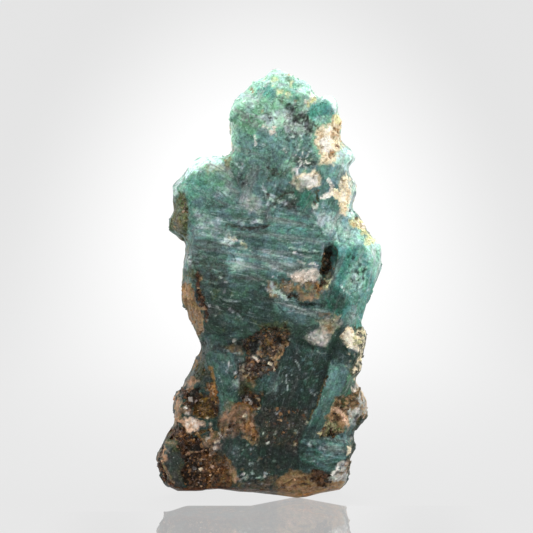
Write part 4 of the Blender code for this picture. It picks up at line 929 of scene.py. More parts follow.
# %% The mica corner at the lower left
patch("umber", 1.0, 0.4, (-13.2, 11.8), (-11.6, 10.8), (-9.4, 9.4), (-8.2, 7.2), (-7.8, 5.4), (-8.6, 2.4),
      (-11.6, 2.2), (-11.8, 5.0), (-12.0, 7.0), (-12.6, 8.2), (-13.8, 10.2))
patch("bark", 0.7, 0.4, (-13.4, 11.2), (-11.8, 10.8), (-11.4, 8.6), (-12.6, 8.4), (-13.4, 9.4))
patch("black", 0.75, 0.4, (-11.2, 8.4), (-9.3, 8.4), (-9.2, 7.2), (-11.2, 7.1))
patch("bark", 0.6, 0.4, (-11.0, 9.8), (-9.8, 9.7), (-9.8, 8.8), (-11.0, 8.8))
patch("black", 0.35, 0.4, (-11.4, 6.4), (-9.8, 6.6), (-9.2, 4.6), (-10.2, 2.8), (-11.4, 3.0))
sprinkle("black", 0.8, 0.15, 40, (-13.2, 11.4), (-9.6, 9.4), (-8.2, 5.4), (-9.0, 2.8), (-11.6, 2.8),
         (-12.0, 8.0))
sprinkle("rust", 0.7, 0.10, 16, (-13.2, 11.4), (-9.6, 9.4), (-8.2, 5.4), (-9.0, 2.8), (-11.6, 2.8),
         (-12.0, 8.0))
seam("mauve", 0.8, 0.08, (-11.4, 6.95), (-9.6, 7.5), (-9.2, 7.8), ragged=0.3)
spots("mauve", 0.6, 0.2, (-10.6, 4.2), (-10.0, 3.6))
# The cream spot at (-9.5, 5.3) and the mauve spots after it are painted glints.
spots("cream", 0.95, 0.17, (-9.5, 5.3), (-13.8, 9.85))
spots("mauve", 0.9, 0.18, (-8.6, 5.2), (-9.1, 5.0))
patch("shell", 1.0, 0.4, (-11.2, 12.0), (-10.6, 11.8), (-9.9, 11.9), (-9.2, 11.6), (-9.0, 11.2),
      (-9.6, 10.6), (-10.2, 10.2), (-10.8, 10.2), (-11.6, 10.8), (-11.8, 11.6), ragged=0.6)
spots("shell", 1.0, 0.7, (-10.1, 11.0))
spots("blush", 1.0, 0.46, (-11.1, 11.3), (-10.5, 11.4), (-9.8, 11.1), (-10.2, 10.6))
seam("mauve", 0.9, 0.14, (-11.9, 11.8), (-11.7, 11.0), (-11.4, 10.4), ragged=0.4)
seam("tan", 0.6, 0.12, (-11.0, 11.6), (-10.6, 10.8), (-10.0, 10.5), ragged=0.4)
seam("gold", 0.9, 0.2, (-10.2, 10.05), (-9.0, 10.3), (-8.0, 10.5), ragged=0.4)
seam("rust", 0.9, 0.14, (-9.7, 9.9), (-9.4, 9.2), ragged=0.3)
patch("mauve", 0.5, 0.45, (-9.4, 9.2), (-8.8, 9.9), (-8.2, 10.2), (-7.2, 10.2), (-6.8, 9.6), (-6.9, 9.0),
      (-6.7, 8.4), (-6.8, 7.6), (-7.4, 7.2), (-8.0, 7.4), (-8.6, 8.0), (-8.8, 8.6))
patch("leather", 0.9, 0.35, (-8.4, 10.3), (-7.0, 10.3), (-6.9, 9.1), (-8.4, 9.0))
patch("olive", 0.45, 0.3, (-7.9, 9.9), (-7.2, 9.8), (-7.2, 9.2), (-7.9, 9.2))
spots("blush", 0.7, 0.26, (-8.5, 9.4), (-7.5, 7.9))
spots("cream", 0.95, 0.13, (-7.4, 8.75), (-7.0, 8.8), (-6.6, 8.8), (-6.6, 8.3))
spots("black", 0.9, 0.16, (-7.8, 8.6), (-6.8, 8.55), (-7.1, 8.5), (-8.3, 8.5))
seam("umber", 0.85, 0.14, (-7.0, 11.2), (-6.6, 10.0), (-6.5, 9.2), ragged=0.4)
seam("blush", 0.85, 0.1, (-7.0, 10.0), (-6.4, 9.3), ragged=0.3)
patch("rust", 0.55, 0.7, (-9.0, 7.2), (-7.6, 7.2), (-6.2, 7.0), (-5.0, 5.2), (-5.0, 2.8), (-7.2, 2.5),
      (-8.8, 2.8), (-8.4, 5.0))
patch("bark", 0.6, 0.7, (-8.6, 6.8), (-6.4, 6.8), (-5.4, 4.6), (-5.2, 2.8), (-8.4, 2.6), (-8.0, 5.0))
patch("moss", 0.5, 0.5, (-7.6, 7.2), (-6.2, 7.2), (-6.2, 5.8), (-7.4, 5.8))
patch("gold", 0.7, 0.35, (-6.6, 5.0), (-5.6, 5.0), (-5.6, 3.8), (-6.6, 3.8))
seam("rust", 0.95, 0.12, (-8.0, 4.8), (-7.0, 4.7), (-6.0, 4.4), ragged=0.4)
seam("rust", 0.8, 0.09, (-7.4, 6.0), (-6.4, 5.6), (-5.6, 5.4), ragged=0.4)
spots("bark", 0.9, 0.26, (-8.2, 4.6), (-8.6, 4.0), (-6.9, 5.3))
spots("black", 0.9, 0.22, (-7.6, 3.3), (-6.2, 3.1), (-7.0, 3.9))
spots("ochre", 0.9, 0.17, (-8.2, 3.7), (-5.6, 3.4), (-6.0, 6.2))
sprinkle("black", 0.75, 0.11, 26, (-8.8, 7.0), (-6.2, 7.0), (-5.2, 4.8), (-5.2, 2.8), (-8.4, 2.8))
sprinkle("ochre", 0.6, 0.09, 16, (-8.8, 7.0), (-6.2, 7.0), (-5.2, 4.8), (-5.2, 2.8), (-8.4, 2.8))
patch("mauve", 0.6, 0.4, (-5.6, 5.2), (-4.6, 5.0), (-4.0, 4.4), (-3.6, 3.2), (-4.8, 2.8), (-5.2, 3.4))
patch("leather", 0.5, 0.4, (-5.2, 4.8), (-4.2, 4.6), (-3.8, 3.2), (-5.0, 3.0))
spots("mauve", 0.8, 0.3, (-4.7, 3.4))
patch("lilac", 0.35, 0.4, (-5.6, 6.6), (-4.4, 6.6), (-4.4, 5.6), (-5.4, 5.8))
patch("mauve", 0.48, 0.6, (-7.2, 12.8), (-6.0, 13.0), (-4.6, 13.6), (-2.8, 13.2), (-1.9, 13.0), (-1.8, 11.0),
      (-1.5, 9.6), (-1.4, 8.6), (-2.4, 8.8), (-3.6, 9.8), (-3.9, 10.4), (-4.8, 10.0), (-5.6, 9.4),
      (-6.2, 8.6), (-6.6, 9.4))
patch("mauve", 0.55, 0.5, (-6.8, 12.6), (-5.4, 13.0), (-4.0, 13.0), (-4.2, 12.0), (-5.6, 11.8), (-6.6, 11.4))
patch("bark", 0.4, 0.4, (-5.5, 11.8), (-4.0, 11.9), (-3.6, 11.0), (-4.0, 10.1), (-5.0, 9.9), (-5.7, 10.6))
patch("rust", 0.6, 0.35, (-3.8, 11.0), (-2.4, 12.2), (-1.9, 11.2), (-2.0, 10.0), (-2.6, 9.4), (-3.6, 10.2))
patch("tan", 0.5, 0.4, (-6.3, 11.2), (-5.6, 11.2), (-5.5, 9.6), (-6.2, 9.4))
patch("gold", 0.75, 0.3, (-3.4, 9.8), (-2.2, 10.0), (-2.0, 9.2), (-2.6, 9.0))
spots("mauve", 0.8, 0.22, (-3.0, 12.9), (-2.3, 11.6))
spots("black", 0.9, 0.15, (-2.5, 9.2), (-1.8, 9.2), (-1.6, 8.8), (-1.8, 10.2), (-4.4, 13.2), (-2.6, 13.0))
sprinkle("bark", 0.7, 0.14, 24, (-6.6, 12.6), (-2.0, 13.0), (-1.8, 9.6), (-3.6, 10.0), (-6.2, 9.4))
sprinkle("tan", 0.55, 0.09, 14, (-6.6, 12.6), (-2.0, 13.0), (-1.8, 9.6), (-3.6, 10.0), (-6.2, 9.4))
seam("tan", 0.85, 0.12, (-3.6, 9.7), (-2.8, 8.9), (-2.0, 8.6), ragged=0.3)
seam("cream", 0.95, 0.13, (-1.8, 8.45), (-1.5, 8.3), ragged=0.2)
spots("cream", 0.9, 0.12, (-3.4, 12.5), (-1.5, 13.7))
patch("smoke", 0.95, 0.35, (-14.2, 6.4), (-13.2, 8.0), (-12.2, 7.2), (-11.8, 5.4), (-11.6, 3.6), (-12.0, 2.4),
      (-13.0, 2.4), (-13.8, 3.6), (-14.6, 5.4), ragged=0.5)
patch("deep", 0.5, 0.4, (-14.0, 6.2), (-13.0, 7.4), (-12.4, 6.0), (-12.8, 4.6), (-13.8, 4.6))
spots("ink", 0.7, 0.35, (-13.6, 5.4), (-12.8, 3.5))
patch("moss", 0.5, 0.3, (-12.6, 6.8), (-11.9, 6.0), (-11.7, 3.4), (-12.4, 3.2))
patch("mauve", 0.9, 0.4, (-14.9, 7.8), (-14.3, 8.4), (-13.9, 7.6), (-14.2, 6.6), (-14.6, 5.8), (-15.3, 6.4))
seam("leather", 0.7, 0.18, (-14.5, 5.4), (-14.0, 4.4), (-13.2, 3.2), ragged=0.4)
patch("olive", 0.85, 0.35, (-14.1, 9.3), (-13.4, 9.8), (-12.5, 8.6), (-12.3, 7.4), (-12.8, 7.4), (-13.2, 8.2),
      (-14.0, 8.2))
seam("tan", 0.6, 0.1, (-13.8, 8.8), (-13.0, 8.5), ragged=0.3)
seam("tan", 0.8, 0.25, (-13.7, 11.2), (-14.1, 10.0), (-14.5, 8.8), ragged=0.4)
seam("bark", 0.95, 0.24, (-13.6, 11.2), (-14.4, 9.2), (-15.0, 8.0), (-15.3, 6.4), (-14.9, 5.2), (-14.1, 3.6),
     (-13.2, 2.6), (-12.4, 2.2), (-11.0, 2.2), (-9.0, 2.3), (-7.0, 2.5), (-5.0, 2.3), (-3.0, 2.1), (0.0, 1.9),
     (2.0, 1.6), ragged=0.2)

# %% The foot
patch("deep", 0.85, 0.4, (-6.6, 7.6), (-4.6, 9.2), (-2.4, 8.4), (-1.2, 8.8), (0.0, 6.0), (-1.0, 3.6),
      (-3.6, 3.2), (-4.6, 5.4), (-5.8, 6.4))
patch("steel", 0.3, 0.4, (-6.0, 8.0), (-4.4, 8.8), (-3.4, 7.4), (-4.6, 6.6))
patch("smoke", 0.8, 0.5, (-4.0, 3.6), (0.8, 4.2), (1.2, 1.8), (-4.2, 1.9))
patch("leather", 0.25, 0.5, (-4.0, 3.4), (0.8, 4.0), (1.2, 1.8), (-4.2, 1.9))
patch("smoke", 0.35, 0.8, (-3.8, 6.6), (-0.6, 6.6), (0.6, 4.6), (-3.4, 4.4))
seam("veil", 0.85, 0.07, (-3.2, 6.4), (-2.9, 6.3), (-2.7, 5.7), soft=0.12, ragged=0.2)
seam("veil", 0.85, 0.07, (-2.6, 6.1), (-2.2, 6.0), soft=0.12, ragged=0.2)
seam("veil", 0.7, 0.07, (-2.9, 4.9), (-2.2, 4.5), soft=0.12, ragged=0.2)
seam("veil", 0.8, 0.07, (-0.9, 4.6), (-0.4, 4.5), soft=0.12, ragged=0.2)
seam("veil", 0.7, 0.07, (-1.9, 4.0), (-1.3, 4.0), soft=0.12, ragged=0.2)
seam("lilac", 0.5, 0.2, (-4.0, 4.0), (-3.0, 4.2))
spots("white", 0.85, 0.12, (-3.7, 4.65), (-0.8, 4.1))
sprinkle("veil", 0.55, 0.08, 34, (-5.6, 8.4), (-1.0, 8.6), (2.0, 5.6), (2.0, 3.0), (-3.8, 3.2), (-4.6, 5.6))
sprinkle("ink", 0.7, 0.12, 34, (-5.6, 8.4), (-1.0, 8.6), (2.0, 5.6), (2.0, 3.0), (-3.8, 3.2), (-4.6, 5.6))
sprinkle("leather", 0.5, 0.09, 22, (-4.6, 8.0), (-1.0, 8.6), (2.0, 5.6), (2.0, 3.0), (-3.8, 3.2))
patch("leather", 0.95, 0.3, (0.9, 3.4), (2.2, 4.4), (3.6, 5.0), (5.8, 4.8), (8.2, 4.4), (9.8, 3.8),
      (10.8, 2.6), (6.0, 0.6), (3.0, 0.4), (1.0, 1.0), ragged=0.6)
patch("mauve", 0.35, 0.4, (1.6, 3.0), (4.0, 3.6), (6.2, 2.8), (6.0, 0.6), (2.0, 0.8))
patch("tan", 0.35, 0.3, (3.0, 5.0), (5.4, 4.8), (5.2, 4.0), (3.0, 4.2))
patch("umber", 0.85, 0.3, (5.6, 4.6), (8.4, 4.5), (8.5, 2.9), (6.6, 2.6), (5.6, 3.4))
patch("bark", 0.6, 0.3, (5.8, 4.6), (7.6, 4.4), (7.4, 3.8), (5.9, 3.9))
spots("black", 0.85, 0.3, (7.9, 3.2), (7.5, 3.5))
seam("ochre", 0.8, 0.09, (1.8, 2.2), (3.4, 3.2), (5.4, 3.4), ragged=0.3)
seam("ochre", 0.7, 0.08, (2.4, 1.9), (4.2, 2.7), (6.2, 2.7), ragged=0.3)
seam("bark", 0.8, 0.1, (1.6, 2.6), (3.2, 3.6), (5.0, 4.0), ragged=0.3)
seam("bark", 0.8, 0.09, (2.2, 2.1), (3.8, 2.9), (5.6, 3.0), ragged=0.3)
seam("tan", 0.7, 0.08, (2.0, 3.2), (3.4, 4.1), (5.0, 4.5), ragged=0.3)
patch("tan", 0.75, 0.3, (8.4, 3.5), (10.6, 3.6), (10.4, 2.7), (8.6, 2.5), ragged=0.5)
seam("rust", 0.8, 0.16, (2.0, 1.3), (4.0, 1.4), (5.4, 1.6), (7.0, 2.1), (9.4, 2.6), ragged=0.2)

# %% The dark prism and the speckled rock under it
patch("ink", 0.65, 0.5, (-1.4, 14.0), (5.6, 13.8), (5.0, 9.2), (4.2, 5.2), (0.0, 5.0), (-1.4, 8.8))
patch("pepper", 0.9, 1.0, (-1.4, 13.8), (5.4, 13.8), (4.8, 10.2), (4.0, 7.4), (1.0, 7.6), (-1.2, 9.0))
patch("deep", 1.0, 0.25, (3.0, 22.6), (5.2, 22.2), (6.0, 22.0), (7.8, 21.3), (8.6, 20.4), (7.2, 16.6),
      (5.8, 13.4), (4.2, 13.4), (1.4, 14.2), (-1.2, 13.8), (-0.8, 16.0), (0.4, 18.0), (1.4, 20.2),
      ragged=0.35)
patch("ink", 0.45, 0.5, (-1.0, 14.4), (0.6, 15.8), (4.0, 15.4), (5.6, 13.4), (1.4, 13.6))
patch("ink", 0.4, 0.4, (5.2, 19.8), (6.8, 19.8), (6.6, 17.6), (5.2, 17.4))
patch("steel", 0.5, 0.5, (-1.4, 17.8), (0.2, 18.4), (1.6, 17.2), (0.8, 15.6), (-1.2, 15.8))
patch("steel", 0.35, 0.4, (3.2, 22.2), (7.6, 21.4), (8.2, 20.4), (6.0, 20.6), (3.6, 21.0))
seam("veil", 0.8, 0.06, (3.4, 20.1), (4.0, 19.4), (4.1, 18.8), soft=0.1, ragged=0.15)
seam("veil", 0.8, 0.06, (2.2, 18.0), (2.3, 17.0), (2.4, 15.9), soft=0.1, ragged=0.15)
seam("veil", 0.7, 0.05, (2.3, 17.4), (2.9, 18.0), soft=0.1, ragged=0.15)
seam("veil", 0.5, 0.06, (6.4, 21.2), (7.0, 20.9), (7.6, 20.9), soft=0.1, ragged=0.2)
seam("veil", 0.45, 0.06, (5.2, 16.4), (5.8, 15.4), (6.6, 15.6), soft=0.1, ragged=0.2)
sprinkle("steel", 0.7, 0.12, 60, (3.2, 22.2), (7.8, 21.0), (6.0, 14.4), (-0.8, 14.6), (1.4, 19.6))
sprinkle("veil", 0.4, 0.08, 20, (3.2, 22.2), (7.8, 21.0), (6.0, 14.4), (-0.8, 14.6), (1.4, 19.6))
sprinkle("ink", 0.7, 0.14, 40, (3.2, 22.2), (7.8, 21.0), (6.0, 14.4), (-0.8, 14.6), (1.4, 19.6))
spots("white", 0.95, 0.13, (1.15, 12.85), (-0.9, 10.1), (-0.35, 8.8))
sprinkle("leather", 0.5, 0.08, 20, (-1.2, 13.6), (5.2, 13.6), (4.4, 7.6), (0.8, 7.6), (-1.0, 9.4))
sprinkle("tan", 0.65, 0.07, 20, (-1.2, 13.6), (5.2, 13.6), (4.4, 7.6), (0.8, 7.6), (-1.0, 9.4))
sprinkle("lilac", 0.55, 0.07, 40, (-1.2, 13.6), (5.2, 13.6), (4.4, 6.6), (0.0, 6.6), (-1.0, 9.4))
sprinkle("ink", 0.8, 0.13, 50, (-1.2, 13.6), (5.2, 13.6), (4.4, 6.6), (0.0, 6.6), (-1.0, 9.4))
spots("black", 0.8, 0.36, (3.5, 8.6))
spots("gold", 0.9, 0.26, (3.5, 8.6))
spots("cream", 0.8, 0.14, (3.4, 8.5))
spots("cream", 0.8, 0.12, (2.75, 7.25), (4.9, 11.6))

# %% The blue lath
patch("steel", 0.85, 0.2, (8.5, 20.2), (7.4, 16.4), (6.4, 13.8), (5.2, 11.4), (4.4, 9.6), (4.6, 8.8),
      (6.2, 8.9), (6.9, 10.0), (7.9, 12.0), (8.9, 14.2), (9.8, 16.0), (10.8, 18.6), (9.8, 20.0), ragged=0.2)
patch("sea", 0.6, 1.2, (5.6, 12.6), (8.4, 13.4), (6.4, 8.6), (4.0, 8.4), ragged=0.3)
patch("deep", 0.8, 1.2, (4.6, 11.0), (7.2, 11.4), (6.2, 8.6), (4.0, 8.4), ragged=0.3)
# Painted highlight: this aqua patch lightens the upper lath where light falls on it.
patch("aqua", 0.4, 0.5, (8.3, 19.0), (9.4, 19.3), (10.2, 18.0), (9.2, 15.6), (8.0, 15.0), (7.5, 16.2),
      ragged=0.4)
patch("slate", 0.5, 0.4, (8.6, 21.4), (10.4, 21.2), (10.6, 19.6), (9.0, 19.4))
seam("gold", 0.75, 0.1, (7.9, 18.0), (7.3, 16.4), (6.3, 13.9), (5.4, 12.0), soft=0.15, ragged=0.3)
seam("aqua", 0.5, 0.08, (8.4, 19.2), (7.6, 16.6), (6.7, 14.2), (5.7, 12.2), soft=0.12, ragged=0.2)
seam("ink", 0.6, 0.15, (8.0, 20.0), (7.2, 17.4), (6.4, 15.0), soft=0.2, ragged=0.3)
patch("leaf", 0.9, 0.3, (10.6, 18.4), (11.6, 17.8), (11.5, 15.9), (10.2, 15.3), (9.3, 15.1), (10.1, 16.8))
patch("sea", 0.45, 0.3, (9.6, 16.4), (10.8, 16.4), (11.0, 15.6), (9.4, 15.2))
sprinkle("deep", 0.6, 0.1, 20, (8.6, 19.8), (10.4, 18.6), (7.4, 11.4), (5.2, 10.4))

# %% The mica lobes at the lower right
patch("tan", 0.75, 0.3, (9.0, 15.2), (11.2, 15.8), (12.2, 17.0), (13.6, 14.6), (14.0, 13.2), (12.9, 12.2),
      (12.1, 10.8), (10.0, 10.2), (7.6, 9.2), (6.8, 9.8), (7.8, 12.0))
patch("gold", 0.6, 0.3, (9.1, 15.0), (11.0, 15.3), (11.8, 15.8), (12.1, 14.8), (11.2, 13.6), (9.6, 12.8),
      (8.8, 13.6))
patch("olive", 0.95, 0.4, (9.2, 15.2), (10.9, 15.3), (10.8, 13.4), (9.4, 13.2))
patch("moss", 0.8, 0.3, (11.2, 15.6), (12.2, 15.6), (12.2, 14.2), (11.3, 14.2))
spots("gold", 0.9, 0.2, (11.4, 15.2), (11.9, 14.6), (10.2, 14.2))
spots("olive", 0.3, 0.5, (9.6, 14.4))
patch("lilac", 0.85, 0.4, (12.2, 15.0), (13.4, 15.0), (13.8, 13.8), (13.6, 12.8), (12.4, 13.1))
patch("lilac", 0.8, 0.4, (11.0, 13.4), (12.4, 13.2), (12.4, 12.0), (11.1, 12.0), (10.6, 12.6))
patch("white", 0.85, 0.25, (11.5, 13.6), (12.0, 13.6), (12.0, 12.8), (11.5, 12.8), ragged=0.5)
patch("veil", 0.7, 0.3, (10.7, 12.0), (11.8, 12.0), (11.8, 10.8), (10.8, 10.8))
patch("blush", 0.9, 0.25, (11.4, 16.6), (12.2, 16.6), (12.3, 15.8), (11.4, 15.8), ragged=0.5)
seam("tan", 0.9, 0.22, (12.9, 16.6), (12.8, 15.4), (12.6, 15.0), ragged=0.4)
spots("black", 0.85, 0.14, (11.5, 16.5), (11.2, 17.0), (11.2, 14.4))
spots("deep", 0.9, 0.18, (11.3, 10.9), (11.7, 12.3))
patch("bark", 0.55, 0.25, (8.5, 11.6), (8.8, 13.1), (9.3, 12.6), (9.6, 11.8), (9.2, 11.2), (8.8, 11.0),
      ragged=0.6)
seam("shell", 1.0, 0.26, (8.7, 13.4), (9.4, 13.2), (9.9, 12.5), (10.3, 11.8), (10.6, 11.2), ragged=0.3)
seam("tan", 0.9, 0.18, (9.4, 12.6), (9.7, 12.0), (10.0, 11.3), ragged=0.3)
seam("tan", 0.9, 0.14, (8.2, 11.6), (8.5, 12.4), (8.7, 13.4), ragged=0.3)
seam("black", 0.7, 0.14, (9.0, 12.7), (9.4, 12.0), ragged=0.3)
seam("umber", 0.7, 0.15, (9.9, 13.6), (10.6, 12.6))
patch("olive", 0.9, 0.3, (6.9, 10.2), (7.8, 11.7), (9.0, 11.4), (9.7, 10.5), (8.4, 9.7), (7.4, 9.3))
sprinkle("butter", 0.55, 0.13, 20, (6.9, 10.0), (7.8, 11.6), (9.4, 11.0), (9.6, 10.2), (7.6, 9.2))
patch("tan", 0.28, 0.3, (6.9, 10.2), (7.8, 11.5), (8.6, 11.0), (8.0, 9.8))
sprinkle("umber", 0.9, 0.15, 14, (6.9, 10.0), (7.8, 11.6), (9.4, 11.0), (9.6, 10.2), (7.6, 9.2))
sprinkle("umber", 0.8, 0.14, 14, (9.2, 15.0), (11.6, 15.6), (12.0, 14.2), (10.6, 12.6), (9.0, 13.4))
sprinkle("tan", 0.8, 0.12, 26, (9.2, 15.0), (11.6, 15.6), (12.0, 14.2), (10.6, 12.6), (9.0, 13.4))
sprinkle("smoke", 0.7, 0.13, 24, (11.0, 14.0), (13.6, 15.0), (13.8, 13.0), (11.8, 10.8), (10.6, 11.4))
patch("steel", 0.75, 0.35, (9.8, 11.0), (10.6, 11.4), (12.0, 10.8), (11.9, 9.8), (10.0, 9.8))
seam("moss", 0.9, 0.2, (13.7, 13.4), (13.2, 12.5), (12.2, 11.8), (11.7, 10.4), ragged=0.3)

# %% The corner block and its silvery flank
patch("steel", 0.75, 0.2, (4.2, 9.2), (6.6, 9.3), (8.6, 9.6), (10.6, 10.2), (11.4, 8.6), (10.6, 6.6),
      (9.4, 5.4), (8.4, 4.8), (4.2, 4.9), (4.0, 7.2), ragged=0.4)
patch("deep", 0.95, 0.6, (4.0, 8.6), (6.2, 8.5), (6.8, 6.6), (6.0, 4.9), (4.0, 5.0))
patch("teal", 0.25, 0.5, (5.2, 8.2), (9.4, 8.6), (9.8, 6.4), (6.4, 5.2), (4.6, 6.2))
patch("aqua", 0.35, 0.5, (7.6, 9.4), (10.6, 9.8), (10.6, 7.8), (8.0, 7.6))
for low in (5.9, 6.5, 7.1, 7.7):
    seam("aqua", 0.75, 0.08, (6.6, low + 0.5), (7.8, low), (8.8, low + 0.35), (9.9, low + 0.1), ragged=0.3)
    seam("slate", 0.7, 0.09, (6.8, low + 0.2), (7.9, low - 0.3), (9.0, low + 0.05), ragged=0.3)
seam("veil", 0.5, 0.07, (7.2, 8.5), (8.6, 8.3), (9.8, 8.3), ragged=0.3)
seam("aqua", 0.6, 0.08, (4.8, 6.4), (6.2, 6.1), (7.0, 5.8), ragged=0.3)
spots("black", 0.75, 0.2, (5.8, 8.5), (6.4, 8.6), (7.6, 8.2), (6.1, 8.3))
spots("veil", 0.8, 0.16, (6.8, 8.1), (5.4, 8.3))
sprinkle("deep", 0.7, 0.12, 34, (4.2, 9.0), (10.4, 9.8), (11.0, 7.0), (8.4, 5.0), (4.4, 5.0))
sprinkle("veil", 0.5, 0.08, 24, (5.0, 9.0), (10.4, 9.8), (10.6, 7.0), (8.4, 5.2), (5.4, 5.4))
patch("moss", 0.7, 0.25, (10.7, 9.6), (11.6, 9.2), (11.4, 8.2), (10.9, 8.3))
spots("white", 0.8, 0.13, (11.1, 9.2), (11.3, 8.6))
patch("cream", 1.0, 0.2, (10.5, 8.3), (11.0, 8.2), (11.0, 7.3), (10.6, 7.1), ragged=0.3)
seam("moss", 0.9, 0.12, (11.2, 8.2), (11.2, 7.2), (11.0, 6.6), ragged=0.2)
patch("lilac", 0.85, 0.25, (8.2, 4.5), (9.1, 5.0), (9.4, 5.8), (10.0, 6.5), (10.9, 6.3), (11.1, 4.4),
      (10.4, 3.5), (9.2, 3.2), (8.3, 3.7), ragged=0.5)
patch("mauve", 0.7, 0.3, (10.4, 6.5), (11.2, 6.4), (11.0, 4.0), (10.4, 4.0))
patch("blush", 0.4, 0.4, (8.6, 4.6), (9.6, 5.6), (10.3, 5.2), (9.8, 3.8), (8.8, 3.8), ragged=0.5)
seam("white", 1.0, 0.14, (9.1, 5.2), (9.5, 5.9), (10.1, 6.3), ragged=0.2)
seam("white", 0.95, 0.12, (8.4, 4.6), (9.0, 4.8), ragged=0.2)
spots("white", 0.95, 0.16, (9.2, 5.2), (9.1, 3.65), (9.9, 4.2))
seam("umber", 0.85, 0.09, (8.2, 4.3), (9.0, 4.2), ragged=0.2)
seam("umber", 0.85, 0.09, (9.1, 4.55), (9.9, 4.6), ragged=0.2)
seam("umber", 0.8, 0.09, (9.5, 5.6), (10.2, 5.8), ragged=0.2)
sprinkle("leather", 0.8, 0.09, 18, (8.4, 4.2), (9.4, 5.4), (10.8, 6.2), (10.8, 4.2), (9.4, 3.4))
print(len(marks), "marks drawn")

# %% [markdown]
# ## The rock where no patch is drawn
#
# The sides and the back are the same rock, so they get the same minerals from fields of noise: paler
# towards the top, darker towards the foot, with bodies of feldspar and mica. Broken sides have stood
# in soil for longer than a fresh face, so they carry a brown and olive rind.

# %% Rock from noise
BASE_TONES = {0: "deep", 12: "deep", 24: "slate", 34: "steel", 44: "steel", 52: "sage", 61: "mint"}
ROW = {name: np.array([*linear(shade), dull, flaky]) for name, (shade, dull, flaky) in MINERALS.items()}


def add(rock, mineral, share):
    """Lays a share of one mineral over what the rock is so far."""
    rock += np.reshape(share, (-1, 1)) * (ROW[mineral] - rock)


def plain_rock(spots_mm):
    """Grandidierite alone: deep at the foot, pale at the head, and cloudy."""
    height = spots_mm[:, 2] + 5 * cloud(spots_mm, 8, 3, 3.1) + 2 * cloud(spots_mm, 2, 2, 8.4)
    tones = np.array([ROW[name] for name in BASE_TONES.values()])
    return np.column_stack([np.interp(height, list(BASE_TONES), painted_light) for painted_light in tones.T])


def hidden_rock(spots_mm, sideways):
    """The sides and the back: plain rock with rind, feldspar and mica in it."""
    rock = plain_rock(spots_mm)
    low = 1 - smooth_step(spots_mm[:, 2], 8, 46)
    fine = cloud(spots_mm, 1.6, 3, 14.0)
    rind = cloud(spots_mm, 5, 3, 21.0) + 0.5 * fine + 0.9 * sideways * low
    add(rock, "olive", 0.75 * smooth_step(rind, 0.25, 0.75))
    add(rock, "leather", 0.75 * smooth_step(rind, 0.65, 1.05))
    mica = cloud(spots_mm, 6, 2, 33.0) + 0.35 * fine + 0.55 * low
    add(rock, "umber", 0.9 * smooth_step(mica, 0.42, 0.62))
    add(rock, "gold", 0.7 * smooth_step(mica + 0.3 * cloud(spots_mm, 0.9, 2, 47.0), 0.75, 0.95))
    white = cloud(spots_mm, 6, 3, 55.0) + 0.4 * fine
    add(rock, "tan", 0.9 * smooth_step(white, 0.26, 0.36))
    add(rock, "blush", (1 - 0.7 * low) * smooth_step(white, 0.36, 0.48))
    add(rock, "cream", (1 - 0.5 * low) * smooth_step(white, 0.44, 0.60))
    add(rock, "rust", 0.6 * smooth_step(white, 0.24, 0.4) * smooth_step(fine, 0.25, 0.4))
    return rock


# %% [markdown]
# ## Laying the minerals down
#
# Each point of the skin starts as plain rock, takes every mark that covers it, and then gives way to
# the hidden rock where the surface turns away from the show face. On the flanks the marks stray a
# little, or they would run straight back into the rock as bars. Last, light is painted into the
# colour: lighter towards the head and darker towards the foot, as light from above falls off, and
# less so on feldspar and mica.

# %% Lay the minerals down
TURNED_AWAY = -0.02
SHOW_FACE = 0.18
LEFT_FOOT_SHOWS = 0.2
STRAY = 1.6
BROKEN_UP = 0.5
CRUMBLE = 0.4
RAGGED_MARGIN = 1.2
# Painted light: how much lighter or darker the colour is painted at each height, as light from above falls
# off.
LIGHT_PAINTED_BY_HEIGHT = {0: 0.66, 20: 0.76, 40: 1.0, 54: 1.13, 60: 0.98}


def link_list(mesh):
    links = np.empty(len(mesh.edges) * 2, int)
    mesh.edges.foreach_get("vertices", links)
    return links.reshape(-1, 2)


def evened(values, links, rounds):
    """Averages each point's values with its neighbours', a few times over."""
    count = np.bincount(links.ravel(), minlength=len(values))
    for _ in range(rounds):
        total = np.zeros_like(values)
        np.add.at(total, links[:, 0], values[links[:, 1]])
        np.add.at(total, links[:, 1], values[links[:, 0]])
        values = 0.5 * values + 0.5 * total / count[:, None]
    return values


def lay_marks(rock, where, facing):
    shift = ragged_shift(where, *RAGGED_COARSE, 5.0) + ragged_shift(where, *RAGGED_FINE, 77.0)
    grain = cloud(np.column_stack([where, facing]), 0.55, 2, 61.0)
    for mineral, share, soft, reach, line, ragged, closed in marks:
        margin = reach + soft + RAGGED_MARGIN
        close_by = (where > line.min(axis=0) - margin) & (where < line.max(axis=0) + margin)
        near = np.flatnonzero(close_by.all(axis=1) & (facing > 0))
        spot = where[near] + ragged * shift[near]
        gap = distance_to_line(spot, line) - reach
        if closed:
            gap = np.where(is_inside(spot, line), -gap, gap)
        broken = min(1, 0.15 + ragged) * grain[near]
        edge = 1 - smooth_step(gap + CRUMBLE * broken, -0.5 * soft, 0.5 * soft)
        whole = np.clip(share + BROKEN_UP * broken, 0, 1)
        rock[near] += (edge * whole)[:, None] * (ROW[mineral] - rock[near])


